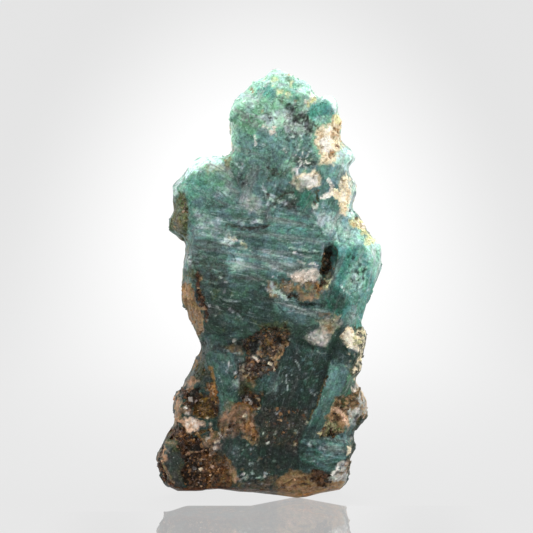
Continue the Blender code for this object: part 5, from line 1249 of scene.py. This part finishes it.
links = link_list(stone_mesh)
broad_normals = evened(normals, links, 8)
shows = -broad_normals[:, 1] + 0.12 * cloud(spots_mm, 1.5, 2, 70.0)
shows += LEFT_FOOT_SHOWS * smooth_step(-spots_mm[:, 0], 9, 12) * (1 - smooth_step(spots_mm[:, 2], 18, 26))
facing = smooth_step(shows, TURNED_AWAY, SHOW_FACE)
rock = plain_rock(spots_mm)
stray = STRAY * np.column_stack([cloud(spots_mm, 1.6, 2, seed) for seed in (91.0, 97.0)])
stray *= 1 - smooth_step(np.abs(broad_normals[:, 1:2]), 0.1, 0.5)
lay_marks(rock, places + stray, facing)
sideways = 1 - smooth_step(np.abs(broad_normals[:, 1]), 0.3, 0.8)
rock += (1 - facing[:, None]) * (hidden_rock(spots_mm, sideways) - rock)
# Painted light: lighter towards the head, darker towards the foot, less on feldspar and mica.
painted_light = np.interp(spots_mm[:, 2], list(LIGHT_PAINTED_BY_HEIGHT), list(LIGHT_PAINTED_BY_HEIGHT.values()))
rock[:, :3] *= (painted_light + (1 - painted_light) * np.clip(1.2 * rock[:, 3] + 0.4 * rock[:, 4], 0, 1))[:, None]
rock = np.clip(rock, 0, 1)
print(len(marks), "marks laid on", len(rock), "points")

# %% [markdown]
# ## Which way the crystals run
#
# Grandidierite grows in long crystals, so every streak, scratch and cleavage step on one crystal runs
# the same way, and the next crystal has a way of its own. Each point gets a place in its own
# crystal's frame: how far along, how far across and how deep. Noise that is stretched along that
# frame makes streaks.

# %% Crystal directions
CRYSTALS = [
    # (angle of the streaks, how streaky, outline)
    (-33, 0.55, (-14.0, 46.5), (-6.0, 48.6), (-4.0, 43.0), (-5.4, 38.6), (-9.0, 35.6), (-14.0, 36.4)),
    (-9, 1.00, (-8.6, 41.0), (0.0, 41.5), (8.0, 39.0), (7.4, 36.0), (7.2, 32.0), (0.0, 30.5), (-11.9, 30.2),
     (-11.9, 35.8)),
    (-14, 0.75, (-10.0, 30.2), (0.0, 30.5), (2.0, 28.4), (9.4, 26.4), (7.0, 24.8), (-2.0, 23.8),
    (-9.6, 23.6)),
    (66, 0.55, (5.4, 40.4), (12.0, 40.6), (16.4, 36.4), (16.4, 32.6), (13.0, 24.4), (9.4, 24.6),
     (7.2, 28.2), (8.6, 34.6)),
    (71, 0.65, (2.6, 23.2), (8.6, 21.2), (9.6, 24.6), (9.9, 23.4), (6.0, 13.0), (4.2, 5.2), (-1.4, 5.2),
     (-1.4, 16.0)),
    (66, 0.90, (8.6, 21.6), (11.0, 20.8), (11.4, 17.4), (6.4, 8.8), (4.2, 8.8)),
    (-75, 0.60, (-10.0, 23.2), (-3.6, 22.6), (-3.6, 18.0), (-4.8, 12.4), (-6.8, 12.2), (-8.8, 18.0)),
    (-7, 0.90, (4.0, 9.2), (8.6, 9.6), (11.4, 12.2), (12.6, 10.4), (10.6, 6.6), (8.0, 4.8), (4.0, 4.8)),
    (-60, 0.50, (-14.4, 8.0), (-11.6, 8.4), (-11.2, 2.0), (-15.2, 3.0)),
    (-10, 0.60, (0.4, 4.6), (9.6, 4.8), (11.0, 2.4), (4.0, 0.0), (0.4, 1.0)),
]
GRANULAR_HEAD = [(-7, 47.5), (-7, 62), (8, 62), (10, 56), (7, 47), (1, 45)]
HIDDEN_CRYSTALS = 54
FRAME_APART = 40.0
LENGTHWISE = 0.30

draw = random.Random(11)
wandering = spots_mm + 0.7 * np.column_stack([cloud(spots_mm, 2.0, 2, s) for s in (4.4, 5.5, 6.6)])
closest = np.full(len(spots_mm), np.inf)
runner_up = closest.copy()
angle, owner, bulge, tint = (np.zeros(len(spots_mm)) for _ in range(4))
for number in range(HIDDEN_CRYSTALS):
    centre = np.array([draw.uniform(-15, 15), draw.uniform(-10, 10), draw.uniform(0, 60)])
    degrees = draw.choice((68, 74, 62, 80, -12)) + draw.uniform(-6, 6)
    slope = math.radians(degrees)
    axis = np.array([math.cos(slope), draw.uniform(-0.25, 0.25), math.sin(slope)])
    axis /= np.linalg.norm(axis)
    away = wandering - centre
    along = away @ axis
    far = np.sqrt(np.maximum((away ** 2).sum(axis=1) - along ** 2, 0) + (LENGTHWISE * along) ** 2)
    runner_up = np.minimum(runner_up, np.maximum(closest, far))
    mine = far < closest
    closest = np.minimum(closest, far)
    angle[mine] = degrees
    owner[mine] = number + len(CRYSTALS)
    lean = np.array([draw.uniform(-1, 1) for _ in range(3)])
    bulge[mine] = draw.uniform(-0.22, 0.22) + 0.07 * (away[mine] @ lean)
    tint[mine] = draw.uniform(0.62, 1.45)
joint = 1 - smooth_step(runner_up - closest, 0.0, 0.5)
streaky = np.full(len(places), 0.6)
bent = places + 0.5 * ragged_shift(places, *RAGGED_COARSE, 5.0)
for number, (degrees, streak_share, *outline) in enumerate(CRYSTALS):
    covered = is_inside(bent, np.array(outline + outline[:1])) & (facing > 0.2)
    angle[covered] = degrees
    owner[covered] = number
    streaky[covered] = streak_share * (1 - 0.5 * rock[covered, 3:].sum(axis=1))
granular = is_inside(bent, np.array(GRANULAR_HEAD + GRANULAR_HEAD[:1]))
streaky[granular & (facing > 0.2)] = 0.12
hidden = 1 - facing
bare = (1 - rock[:, 3:].sum(axis=1)).clip(0, 1)
rock[:, :3] *= (1 + hidden * bare * (tint * (1 - 0.5 * joint) - 1))[:, None]
angle = np.radians(angle)
run = np.column_stack([
    spots_mm[:, 0] * np.cos(angle) + spots_mm[:, 2] * np.sin(angle),
    spots_mm[:, 2] * np.cos(angle) - spots_mm[:, 0] * np.sin(angle),
    spots_mm[:, 1]]) + FRAME_APART * owner[:, None]
print(len(CRYSTALS), "crystals drawn,", HIDDEN_CRYSTALS, "more at the sides and the back")

# %% [markdown]
# ## Relief
#
# Now the skin is carved, each mineral in its own way. Grandidierite steps down in thin cleavage
# treads along its streaks, feldspar breaks into blocks, and mica comes off in flakes that leave a
# scaly, pitted ground. All of it is shape in the mesh, so that it throws real shadows.

# %% Carve the skin
STRETCH = np.array([0.16, 1.0, 1.0])
GROUND_FADE = (0.15, 1.4)
EDGE_FADE = (-0.1, 0.9)
SMOOTHER_FLANK = 0.6
FLANK_WIDTH = 0.35


def chips(spots_mm, cell, seed):
    """A random height for each chip-shaped cell, with a small tilt inside the cell."""
    heights = np.empty(len(spots_mm))
    for i, spot in enumerate(spots_mm / cell + seed):
        _, cells = noise.voronoi(Vector(spot))
        own = cells[0]
        lean = noise.cell_vector(own * 7.3)
        heights[i] = noise.cell(own * 5.1 + Vector((9.5, 0, 0))) - 0.5 + 1.6 * (Vector(spot) - own).dot(
            lean - Vector((0.5, 0.5, 0.5)))
    return heights


feldspar, mica = rock[:, 3], rock[:, 4]
crystal = np.clip(1 - feldspar - mica, 0, 1)
treads = cloud(run * STRETCH, 0.9, 2, 12.0)
treads = 0.5 * treads + 0.5 * np.round(treads * 3) / 3
hair = cloud(run * STRETCH, 0.28, 2, 19.0)
lumps = cloud(spots_mm, 1.5, 2, 25.0)
sugar = cloud(spots_mm, 0.55, 2, 27.0)
lump_size = np.where(granular, 0.17, 0.12) + 0.12 * (1 - facing)
relief = crystal * (streaky * (0.16 * treads + 0.06 * hair) + (1 - streaky) * lump_size * lumps
                    + (1.1 - streaky) * 0.06 * sugar)
relief += feldspar * (0.34 * chips(spots_mm, 1.3, 2.0) + 0.10 * sugar)
relief += mica * (0.42 * chips(spots_mm, 0.8, 6.0) + 0.18 * lumps)
relief -= 0.25 * mica
relief += hidden * (np.clip(bulge, -0.35, 0.35) - 0.18 * joint)
on_flank = np.exp(-(broad_normals[:, 1] / FLANK_WIDTH) ** 2)
relief *= 1 - SMOOTHER_FLANK * on_flank
relief *= smooth_step(spots_mm[:, 2], *GROUND_FADE) * smooth_step(from_edge, *EDGE_FADE)
carved = points + normals * relief[:, None] * MM
stone_mesh.vertices.foreach_set("co", carved.ravel())
stone_mesh.update()
print("relief from", round(relief.min(), 2), "to", round(relief.max(), 2), "mm")

# %% [markdown]
# ## Hollows
#
# Hollows are darkened in the material, partly as dirt and partly as painted shade. Comparing the
# surface with a smoothed copy of itself finds them: they are the points below the copy.

# %% Hollows
NEAR_ROUNDS = 6
FAR_ROUNDS = 60

carved = read_points(stone_mesh)
carved_normals = evened(read_normals(stone_mesh), links, 4)
rise_near = ((carved - evened(carved, links, NEAR_ROUNDS)) * carved_normals).sum(axis=1) / MM
rise_far = ((carved - evened(carved, links, FAR_ROUNDS)) * carved_normals).sum(axis=1) / MM
hollow = np.clip(smooth_step(-rise_near, 0.02, 0.16) * 0.6 + smooth_step(-rise_far, 0.15, 1.0) * 0.5, 0, 1)
print("hollow:", round(hollow.mean(), 2))

# %% Store them on the mesh
def store(name, kind, values):
    attribute = stone_mesh.attributes.new(name, kind, "POINT")
    key = {"FLOAT": "value", "FLOAT_VECTOR": "vector", "FLOAT_COLOR": "color"}[kind]
    attribute.data.foreach_set(key, np.ascontiguousarray(values, dtype=np.float32).ravel())


store("mineral", "FLOAT_COLOR", np.column_stack([rock[:, :3], np.ones(len(rock))]))
store("run", "FLOAT_VECTOR", run)
for name, values in (("feldspar", feldspar), ("mica", mica), ("streaky", streaky), ("hollow", hollow)):
    store(name, "FLOAT", values)
print("stored:", [a.name for a in stone_mesh.attributes if not a.name.startswith(".")])

# %% [markdown]
# ## The rock's material
#
# The stored colours are only as fine as the net of points. The material adds what is finer: cloudy
# depth, granules, streaks and white scratches along each crystal, dark hairline cracks, and pinpoint
# glints painted into the colour as highlights. Patterns that follow a crystal read its own frame, and
# the others read Object coordinates, in millimetres.

# %% The material of the skin
skin_material, tree = new_material("grandidierite_rock")


def stored(name, output="Fac"):
    return node(tree, "ShaderNodeAttribute", attribute_name=name).outputs[output]


def stretched(vector, scale):
    return vectors(tree, "MULTIPLY", a=vector, b=scale)


def speckle(vector, per_mm, detail=3.0, rough=0.55, twist=0.0):
    return node(tree, "ShaderNodeTexNoise", {"Vector": vector, "Scale": per_mm, "Detail": detail,
                                             "Roughness": rough, "Distortion": twist}).outputs[0]


def cells(vector, per_mm, output="Distance", feature="F1"):
    made = node(tree, "ShaderNodeTexVoronoi", {"Vector": vector, "Scale": per_mm}, feature=feature)
    return made.outputs[output]


def shaded(colour, pattern, low, high, dark, bright):
    """Multiplies a colour by a grey pattern, from dark to bright."""
    return blend(tree, 1.0, colour, ramp(tree, pattern, low, high, dark, bright), "MULTIPLY")


def glowing(colour, gamma):
    """A paler copy of a colour: dark ones gain the most, and none burns out."""
    return node(tree, "ShaderNodeGamma", {"Color": colour, "Gamma": gamma}).outputs[0]


def one_of(colour_output):
    """One number from a random colour."""
    return node(tree, "ShaderNodeSeparateColor", {"Color": colour_output}).outputs[0]


def place_in_mm():
    return stretched(node(tree, "ShaderNodeTexCoord").outputs["Object"], (1 / MM, 1 / MM, 1 / MM))


place = place_in_mm()
frame_place = stored("run", "Vector")
along_streaks = stretched(frame_place, (0.14, 1.0, 1.0))
along_hairs = stretched(frame_place, (0.07, 1.0, 1.0))
mineral = stored("mineral", "Color")
feldspar_share = stored("feldspar")
mica_share = stored("mica")
streak_share = stored("streaky")
hollow_share = stored("hollow")
print("patterns read the crystals' frames and Object coordinates")

# %% Clouds, granules and streaks in the crystal
clouds = speckle(place, 0.55, 5.0, 0.6, 0.6)
granules = one_of(cells(place, 2.3, "Color"))
streaks = speckle(along_streaks, 1.5, 5.0, 0.65)
hairs = speckle(along_hairs, 4.5, 3.0, 0.6)
veils = speckle(stretched(frame_place, (0.45, 1.0, 1.0)), 0.8, 6.0, 0.68, 1.4)

colour = shaded(mineral, clouds, 0.25, 0.75, 0.76, 1.24)
colour = shaded(colour, granules, 0.0, 1.0, 0.86, 1.14)
colour = shaded(colour, speckle(place, 2.6, 4.0, 0.65), 0.3, 0.7, 0.72, 1.28)
streaked = shaded(colour, streaks, 0.3, 0.7, 0.60, 1.40)
colour = blend(tree, streak_share, colour, streaked)
greener = blend(tree, 1.0, colour, (0.88, 1.08, 0.92), "MULTIPLY")
bluer = blend(tree, 1.0, colour, (1.00, 0.97, 1.14), "MULTIPLY")
colour = blend(tree, ramp(tree, speckle(place, 0.9, 3.0), 0.35, 0.65), greener, bluer)
grey = node(tree, "ShaderNodeRGBToBW", {"Color": colour}).outputs[0]
greyed = blend(tree, 0.55, colour, grey)
colour = blend(tree, ramp(tree, speckle(along_streaks, 0.7, 4.0, 0.6), 0.48, 0.66), colour, greyed)

mottle = speckle(place, 1.2, 3.0, 0.5, 0.5)
colour = blend(tree, ramp(tree, streak_share, 0.2, 0.6, 1.0, 0.25), colour,
               shaded(colour, mottle, 0.35, 0.65, 0.87, 1.13))
white_veil = times(tree, ramp(tree, veils, 0.54, 0.72), 0.48)
colour = blend(tree, white_veil, colour, glowing(colour, 0.55))
scratch = times(tree, ramp(tree, hairs, 0.62, 0.70),
                times(tree, streak_share, 0.65))
colour = blend(tree, scratch, colour, glowing(colour, 0.45))
crack_place = vectors(tree, "ADD", a=stretched(frame_place, (0.5, 1, 1)), b=veils)
cracks = cells(crack_place, 0.42, "Distance", "DISTANCE_TO_EDGE")
crack_share = times(tree, ramp(tree, cracks, 0.0, 0.045, 1.0, 0.0), ramp(tree, clouds, 0.4, 0.6))
colour = blend(tree, times(tree, crack_share, 0.6), colour, linear((38, 50, 46)).tolist())
crystal_colour = colour
print("crystal: clouds, granules, streaks, veils, scratches and cracks")

# %% Feldspar and mica
blocks = one_of(cells(place, 1.7, "Color"))
stains = speckle(place, 1.1, 5.0, 0.65, 0.8)
stone_white = shaded(mineral, blocks, 0.0, 1.0, 0.88, 1.14)
stone_white = shaded(stone_white, speckle(place, 3.5, 3.0), 0.3, 0.7, 0.90, 1.14)
stone_white = blend(tree, ramp(tree, stains, 0.60, 0.74, 0.0, 0.3), stone_white,
                    linear((160, 122, 74)).tolist())
flake_tint = cells(stretched(place, (1.0, 1.0, 1.7)), 2.6, "Color")
scales = shaded(mineral, one_of(flake_tint), 0.0, 1.0, 0.5, 1.5)
wander = node(tree, "ShaderNodeTexNoise", {"Vector": place, "Scale": 1.2}).outputs["Color"]
book_place = vectors(tree, "ADD", a=place, b=wander)
book_lean = vectors(tree, "SUBTRACT", a=cells(book_place, 0.7, "Color"), b=(0.5, 0.5, 0.5))
book_lean = vectors(tree, "NORMALIZE", a=book_lean)
deep_in = vectors(tree, "DOT_PRODUCT", "Value", a=place, b=book_lean)
across_leaves = vectors(tree, "SCALE", a=book_lean, Scale=deep_in)
book_leaves = vectors(tree, "ADD", a=stretched(place, (0.45, 0.45, 0.45)),
                      b=stretched(across_leaves, (2.6, 2.6, 2.6)))
leaves = speckle(book_leaves, 1.0, 4.0, 0.6)
scales = shaded(scales, leaves, 0.34, 0.66, 0.40, 1.50)
scales = blend(tree, ramp(tree, leaves, 0.60, 0.68, 0.0, 0.30), scales, glowing(scales, 0.5))
scales = blend(tree, ramp(tree, speckle(place, 2.2, 4.0), 0.58, 0.68, 0.0, 0.40), scales,
               linear((168, 132, 76)).tolist())
scales = blend(tree, ramp(tree, speckle(place, 1.7, 4.0), 0.36, 0.44, 0.6, 0.0), scales,
               linear((24, 16, 10)).tolist())
crumbled = times(tree, maths(tree, "SUBTRACT", speckle(place, 2.4, 4.0, 0.6), 0.5), 1.3)
colour = blend(tree, ramp(tree, plus(tree, feldspar_share, crumbled), 0.25, 0.75), crystal_colour,
               stone_white)
colour = blend(tree, ramp(tree, plus(tree, mica_share, crumbled), 0.25, 0.75), colour, scales)
print("feldspar: blocks and rust stains; mica: scales, and books of thin leaves that lean each its own way")

# %% Grit, the finest grain of all
grit = speckle(place, 4.5, 2.0)
colour = blend(tree, ramp(tree, grit, 0.50, 0.72, 0.0, 0.4), colour, glowing(colour, 0.6))
colour = shaded(colour, grit, 0.28, 0.45, 0.66, 1.0)
print("grit in every mineral")

# %% Dirt and painted shade in hollows, painted glints, and the surface
# Hollows are darkened with a dirty brown: partly dirt, partly painted shade.
dirt_and_painted_shade = times(tree, hollow_share, ramp(tree, stains, 0.35, 0.6, 0.35, 0.8))
colour = blend(tree, dirt_and_painted_shade, colour, linear((44, 42, 30)).tolist())
# Painted highlights: pinpoint glints over all the rock, and finer ones where the mica share is middling,
# lighten the colour in points.
pin = cells(place, 1.9)
pin_pick = one_of(cells(place, 1.9, "Color"))
painted_glint = times(tree, ramp(tree, pin, 0.08, 0.18, 1.0, 0.0), ramp(tree, pin_pick, 0.84, 0.86))
colour = blend(tree, times(tree, painted_glint, 0.7), colour, glowing(colour, 0.35))
peppery = times(tree, ramp(tree, mica_share, 0.15, 0.3, 0.0, 0.75),
                ramp(tree, mica_share, 0.4, 0.55, 1.0, 0.0))
fine_painted_glint = times(tree, ramp(tree, cells(place, 3.4), 0.14, 0.26, 1.0, 0.0),
                 ramp(tree, one_of(cells(place, 3.4, "Color")), 0.66, 0.68))
colour = blend(tree, times(tree, fine_painted_glint, peppery), colour, glowing(colour, 0.45))

height = times(tree, streaks, times(tree, streak_share, 0.22))
height = plus(tree, height, times(tree, speckle(place, 3.2, 4.0, 0.65), 0.14))
height = plus(tree, height, times(tree, granules, 0.05))
height = plus(tree, height, times(tree, one_of(flake_tint),
                                          times(tree, mica_share, 0.25)))
bump = node(tree, "ShaderNodeBump", {"Height": height, "Strength": 0.9, "Distance": 1.0 * MM})
rough = ramp(tree, speckle(place, 1.3, 4.0), 0.3, 0.7, 0.26, 0.52)
rough = plus(tree, rough, times(tree, feldspar_share, 0.18))
shader = node(tree, "ShaderNodeBsdfPrincipled", {
    "Base Color": colour, "Roughness": rough, "IOR": 1.58, "Specular IOR Level": 0.13,
    "Normal": bump.outputs[0],
    "Subsurface Weight": 0.14, "Subsurface Radius": (0.6, 1.0, 0.8), "Subsurface Scale": 0.8 * MM})
node(tree, "ShaderNodeOutputMaterial", {"Surface": shader.outputs[0]})
stone_mesh.materials.clear()
stone_mesh.materials.append(skin_material)
for face in stone_mesh.polygons:
    face.use_smooth = True
print(skin_material.name, "has", len(tree.nodes), "nodes")

# %% [markdown]
# ## Flakes and grains
#
# Mica shines because it is made of flat plates, and no bump gives their hard flashes. So thousands of
# small six-sided plates are set in the mica, each leaning its own way. Feldspar and quartz get
# small blocks in the same way. `scatter` picks the places: large triangles where a mineral is strong
# are picked most often. An operator looks through its whole bmesh each time, so the pieces are made
# in small batches, which is far quicker.

# %% Pick places on the skin
def scatter(amount, share, seed):
    """Places, normals and point numbers on the skin, most where the share is high."""
    stone_mesh.calc_loop_triangles()
    corners = np.empty(len(stone_mesh.loop_triangles) * 3, int)
    stone_mesh.loop_triangles.foreach_get("vertices", corners)
    corners = corners.reshape(-1, 3)
    a, b, c = (carved[corners[:, i]] for i in range(3))
    area = np.linalg.norm(np.cross(b - a, c - a), axis=1)
    weight = area * share[corners].mean(axis=1)
    dice = np.random.default_rng(seed)
    picked = dice.choice(len(corners), amount, p=weight / weight.sum())
    spread = dice.dirichlet((1, 1, 1), amount)
    spot = np.einsum("ij,ijk->ik", spread, carved[corners[picked]])
    up = carved_normals[corners[picked]].mean(axis=1)
    return spot, up / np.linalg.norm(up, axis=1)[:, None], corners[picked, 0]


BATCH = 40


def uneven(points, dice, share, size):
    """Moves each point of a small piece a little, so that no two pieces are alike."""
    for v in points:
        v.co += Vector((dice.gauss(0, 1), dice.gauss(0, 1), dice.gauss(0, 1))) * share * size


def small_pieces(name, make_one, spots, ups, tints, seed):
    """One mesh of many small pieces. make_one shapes a piece in bm and returns its points."""
    dice = random.Random(seed)
    together = bmesh.new()
    for start in range(0, len(spots), BATCH):
        bm = bmesh.new()
        tint_layer = bm.verts.layers.float_color.new("tint")
        batch = slice(start, start + BATCH)
        for spot, up, tint in zip(spots[batch], ups[batch], tints[batch]):
            turn = Vector(up).to_track_quat("Z", "Y").to_matrix().to_4x4()
            for v in make_one(bm, dice, Matrix.Translation(Vector(spot)) @ turn):
                v[tint_layer] = (*tint, 1.0)
                v.co.z = max(v.co.z, 0.0)
        batch_mesh = bpy.data.meshes.new("batch")
        bm.to_mesh(batch_mesh)
        bm.free()
        together.from_mesh(batch_mesh)
        bpy.data.meshes.remove(batch_mesh)
    mesh = bpy.data.meshes.new(name)
    together.to_mesh(mesh)
    together.free()
    piece = bpy.data.objects.new(name, mesh)
    bpy.context.scene.collection.objects.link(piece)
    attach(piece, "root")
    print(name, len(mesh.polygons), "faces,", count_triangles(mesh), "triangles")
    return piece


# %% Mica flakes
FLAKE_COUNT = 3200
FEWER_ON_FLANK = 0.85
FLAKE_TINTS = [(196, 160, 120), (150, 106, 60), (108, 70, 36), (74, 42, 20), (48, 28, 14), (22, 15, 10)]
FLAKE_ODDS = [0.03, 0.10, 0.19, 0.26, 0.24, 0.18]


def flake(bm, dice, put):
    """A thin plate with six uneven sides, leaning out of the surface."""
    radius = dice.triangular(0.10, 0.42, 0.16) * MM
    lean = Euler((dice.gauss(0, 0.34), dice.gauss(0, 0.34), dice.uniform(0, math.tau))).to_matrix().to_4x4()
    squeeze = Matrix.Diagonal((1.0, dice.uniform(0.5, 0.95), 1.0, 1.0))
    lift = Matrix.Translation((0, 0, dice.uniform(-0.05, 0.03) * MM))
    disc = bmesh.ops.create_circle(bm, cap_ends=True, segments=6, radius=radius,
                                   matrix=put @ lift @ lean @ squeeze)["verts"]
    uneven(disc, dice, 0.10, radius)
    grown = bmesh.ops.extrude_face_region(bm, geom=list(disc[0].link_faces))["geom"]
    top = [v for v in grown if isinstance(v, bmesh.types.BMVert)]
    thickness = (put @ lean).to_3x3() @ Vector((0, 0, 0.04 * MM))
    bmesh.ops.translate(bm, verts=top, vec=thickness)
    return disc + top


away_from_edge = (0.2 + 0.8 * facing) * smooth_step(from_edge, 0.3, 1.2)
away_from_edge *= 1 - FEWER_ON_FLANK * on_flank
spot, up, index = scatter(FLAKE_COUNT, np.clip(mica - 0.25, 0, 1) * away_from_edge, 21)
dice = np.random.default_rng(22)
tint_numbers = dice.choice(len(FLAKE_TINTS), FLAKE_COUNT, p=FLAKE_ODDS)
tints = linear(FLAKE_TINTS)[tint_numbers] * 0.6 + rock[index, :3] * 0.4
mica_flakes = small_pieces("mica_flakes", flake, spot, up, tints, 23)

# %% Feldspar and quartz grains
GRAIN_COUNT = 1500


def grain(bm, dice, put):
    """A small block, sunk to about its middle."""
    size = dice.triangular(0.18, 0.62, 0.26) * MM
    turn = Euler([dice.uniform(0, math.tau) for _ in range(3)]).to_matrix().to_4x4()
    shape = Matrix.Diagonal((dice.uniform(0.7, 1.3), dice.uniform(0.6, 1.1), dice.uniform(0.5, 1.0), 1.0))
    sink = Matrix.Translation((0, 0, -0.32 * size))
    block = bmesh.ops.create_cube(bm, size=size, matrix=put @ sink @ turn @ shape)["verts"]
    uneven(block, dice, 0.10, size)
    return block


spot, up, index = scatter(GRAIN_COUNT, np.clip(feldspar - 0.2, 0.01, 1) * away_from_edge, 31)
jitter = np.random.default_rng(32).uniform(0.8, 1.2, (GRAIN_COUNT, 1))
tints = np.clip(rock[index, :3] * jitter, 0, 1)
feldspar_grains = small_pieces("feldspar_grains", grain, spot, up, tints, 33)

# %% Sugar on the crystals
SUGAR_COUNT = 600


def crumb(bm, dice, put):
    """A rounded crumb of crystal with twenty faces."""
    radius = dice.triangular(0.08, 0.30, 0.12) * MM
    shape = Matrix.Diagonal([dice.uniform(0.6, 1.2) for _ in range(3)] + [1.0])
    ball = bmesh.ops.create_icosphere(bm, subdivisions=1, radius=radius, matrix=put @ shape)["verts"]
    uneven(ball, dice, 0.12, radius)
    return ball


sugar_share = crystal * np.where(granular, 1.0, 0.16) * (1 - 0.8 * streaky) * away_from_edge
spot, up, index = scatter(SUGAR_COUNT, sugar_share, 41)
jitter = np.random.default_rng(42).uniform(0.8, 1.25, (SUGAR_COUNT, 1))
tints = np.clip(rock[index, :3] * jitter, 0, 1)
crystal_crumbs = small_pieces("crystal_crumbs", crumb, spot, up, tints, 43)

# %% Materials of the small pieces
SMALL_FINISHES = {
    # piece: (roughness from and to, metallic, coat, fine pattern per mm, contrast)
    "mica_flakes": (0.20, 0.42, 0.20, 0.1, 5.0, 0.30),
    "feldspar_grains": (0.40, 0.62, 0.0, 0.0, 4.0, 0.16),
    "crystal_crumbs": (0.22, 0.45, 0.0, 0.1, 4.0, 0.20),
}
for piece in (mica_flakes, feldspar_grains, crystal_crumbs):
    smooth_to, rough_to, metallic, coat, per_mm, contrast = SMALL_FINISHES[piece.name]
    finish, tree = new_material(piece.name + "_finish")
    pattern = speckle(place_in_mm(), per_mm, 3.0)
    colour = shaded(stored("tint", "Color"), pattern, 0.3, 0.7, 1 - contrast, 1 + contrast)
    bump = node(tree, "ShaderNodeBump", {"Height": pattern, "Strength": 0.4, "Distance": 0.05 * MM})
    shader = node(tree, "ShaderNodeBsdfPrincipled", {
        "Base Color": colour, "Roughness": ramp(tree, pattern, 0.3, 0.7, smooth_to, rough_to),
        "Metallic": metallic, "Coat Weight": coat, "IOR": 1.58, "Specular IOR Level": 0.35,
        "Normal": bump.outputs[0]})
    node(tree, "ShaderNodeOutputMaterial", {"Surface": shader.outputs[0]})
    piece.data.materials.append(finish)
print("finishes:", list(SMALL_FINISHES))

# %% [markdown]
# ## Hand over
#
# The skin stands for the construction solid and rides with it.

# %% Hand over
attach(stone, "root")
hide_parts(STONE_NODE)
